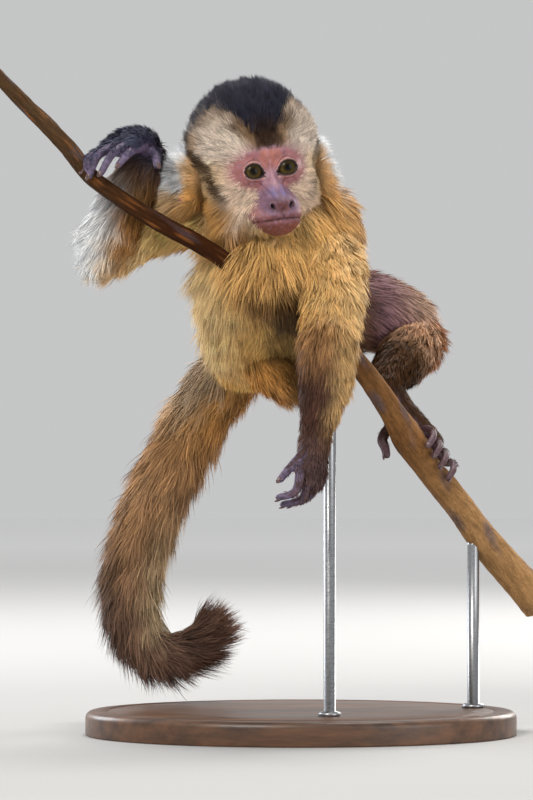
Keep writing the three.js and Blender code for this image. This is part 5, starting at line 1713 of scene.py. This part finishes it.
def make_branch():
    """The perch: a crooked twig with knots, cracked bark and cut ends."""
    line = Line(BRANCH_LINE, (0, 0, 1), places=BRANCH_PLACES)
    angle = np.linspace(0, 2 * np.pi, BRANCH_SIDES, endpoint=False)
    u, a = np.meshgrid(line.u, angle, indexing="ij")
    out = np.cos(a)[..., None] * line.side[:, None] + np.sin(a)[..., None] * line.front[:, None]
    run = u * line.length
    grain = np.stack([np.cos(a) * 6, np.sin(a) * 6, run / GRAIN_LENGTH], -1).reshape(-1, 3)
    bark = 0.26 * waves(grain, 7, 101) + 0.16 * waves(grain * [1, 1, 0.5], 3, 102)
    bark = bark + 0.1 * waves(grain, 1.4, 103)
    knots = np.zeros(u.size)
    for place, turn, size in KNOTS:
        round_it = np.angle(np.exp(1j * (a.ravel() - turn))) / 0.8
        gap = np.hypot((run.ravel() - place * line.length) / 7, round_it)
        knots += size * np.exp(-gap * gap)
    rise = (bark + knots).reshape(u.shape) - 0.35
    points = line.centre[:, None] + out * (line.wide[:, None] + rise)[..., None]
    points = np.vstack([points.reshape(-1, 3), line.centre[0], line.centre[-1]])
    made = mesh_object("branch", points, list(closed_faces(BRANCH_PLACES, BRANCH_SIDES)))
    grain = np.vstack([grain, [0, 0, 0], [0, 0, line.length / GRAIN_LENGTH]])
    place = np.append(u.ravel(), [0, 1])
    rust = np.clip(waves(grain, 4, 104) - 0.6, 0, 1)
    moss = np.clip(waves(grain, 9, 105) - 0.6, 0, 1)
    colour = layered(
        srgb(80, 58, 36),
        (srgb(58, 28, 5), ramp(place, 0.12, 0.34)),
        (srgb(140, 98, 58), ramp(place, 0.5, 0.62)),
        (srgb(168, 128, 84), ramp(place, 0.7, 0.86)),
        (srgb(150, 92, 46), rust * 0.5 * fall(place, 0.5, 0.7)),
        (srgb(92, 86, 96), moss * 0.6),
    )
    tint(made, colour)
    keep_vectors(made, "grain", grain * 0.5)
    finished(made, bark_material(), "bark", "perch_branch")


def lathe(profile, sides, stretch=(1, 1)):
    """A turned shape about Z from (radius, height) pairs, closed at both ends."""
    profile = np.array(profile, float)
    angle = np.linspace(0, 2 * np.pi, sides, endpoint=False)
    x = profile[:, 0, None] * np.cos(angle) * stretch[0]
    y = profile[:, 0, None] * np.sin(angle) * stretch[1]
    z = np.repeat(profile[:, 1, None], sides, 1)
    points = np.stack([x, y, z], -1).reshape(-1, 3)
    points = np.vstack([points, [0, 0, profile[0, 1]], [0, 0, profile[-1, 1]]])
    return points, list(closed_faces(len(profile), sides))


def make_base():
    """The oval base: a rounded upper edge, a small foot and a groove inside its rim."""
    radius, top, edge = BASE_ACROSS / 2, BASE_THICK, BASE_EDGE
    turn = np.linspace(0, np.pi / 2, 9)
    profile = [(radius * 0.5, 0), (radius - 3, 0)]
    profile += [(radius - 1 + math.sin(t), 1 - math.cos(t)) for t in turn]
    profile += [(radius - edge + edge * math.cos(t), top - edge + edge * math.sin(t)) for t in turn]
    profile += [(radius - 12, top), (radius - 12.6, top - 0.5), (radius - 13.4, top - 0.5)]
    profile += [(radius - 14, top), (radius * 0.6, top), (radius * 0.2, top)]
    base = mesh_object("base", *lathe(profile, 144, (1, BASE_DEEP / BASE_ACROSS)))
    finished(base, wood_material(), "base_wood", "stand_base")


def make_rods():
    """Two steel rods, each with a collar where it stands in the base."""
    steel = steel_material()
    radius, foot = ROD_RADIUS, BASE_THICK
    for number, (x, y) in enumerate(ROD_FEET, 1):
        _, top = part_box(f"stand_rod_{number}")
        height = top.z / MM
        profile = [(1, foot - 5), (radius, foot - 5), (radius, foot - 0.4)]
        profile += [(radius + 3, foot), (radius + 3, foot + 1.6), (radius + 2.2, foot + 2.4)]
        profile += [(radius, foot + 2.6), (radius, height - 2), (radius, height)]
        points, faces = lathe(profile, 40)
        rod = mesh_object(f"rod_{number}", points + np.array([x, y, 0]), faces)
        finished(rod, steel, "rod_steel", f"stand_rod_{number}")


def rim_paint(q):
    """The lids' rolled edges: dark against the eye, pale outside."""
    colours = np.zeros((len(q), 3))
    for side in (1, -1):
        rows = np.sign(q[:, 0]) == side
        across, up, _ = eye_angles(q[rows], side)
        colours[rows] = layered(RIM_DARK * 0.4, (RIM_PALE, ramp(lid_gap(across, up), -1.5, 1.0)))
    return colours


def make_animal():
    points, triangles = make_skin()
    points = smoothed(points, triangles, 14, crease_share(points))
    normals = normals_of(points, triangles)
    coat, owner = coat_over(points, normals)
    start = len(points)
    rims, (threes, fours) = combined([lid_rim(side, lid) for side in (1, -1) for lid in ("upper", "lower")])
    faces = [np.vstack([triangles, threes + start]), fours + start]
    skin = mesh_object("skin", np.vstack([points, rims]), faces)
    colours = np.vstack([skin_paint(points, coat, owner), rim_paint(to_head(rims))])
    tint(skin, np.clip(colours, 0, 1))
    finished(skin, skin_material(), "hand_skin", *FLESH)
    make_coat(points, triangles, normals, coat, owner)
    eyes = eye_material()
    make_eye(1, "left", eyes)
    make_eye(-1, "right", eyes)
    make_nails()


make_camera()
make_studio()
make_base()
make_rods()
make_branch()
make_animal()
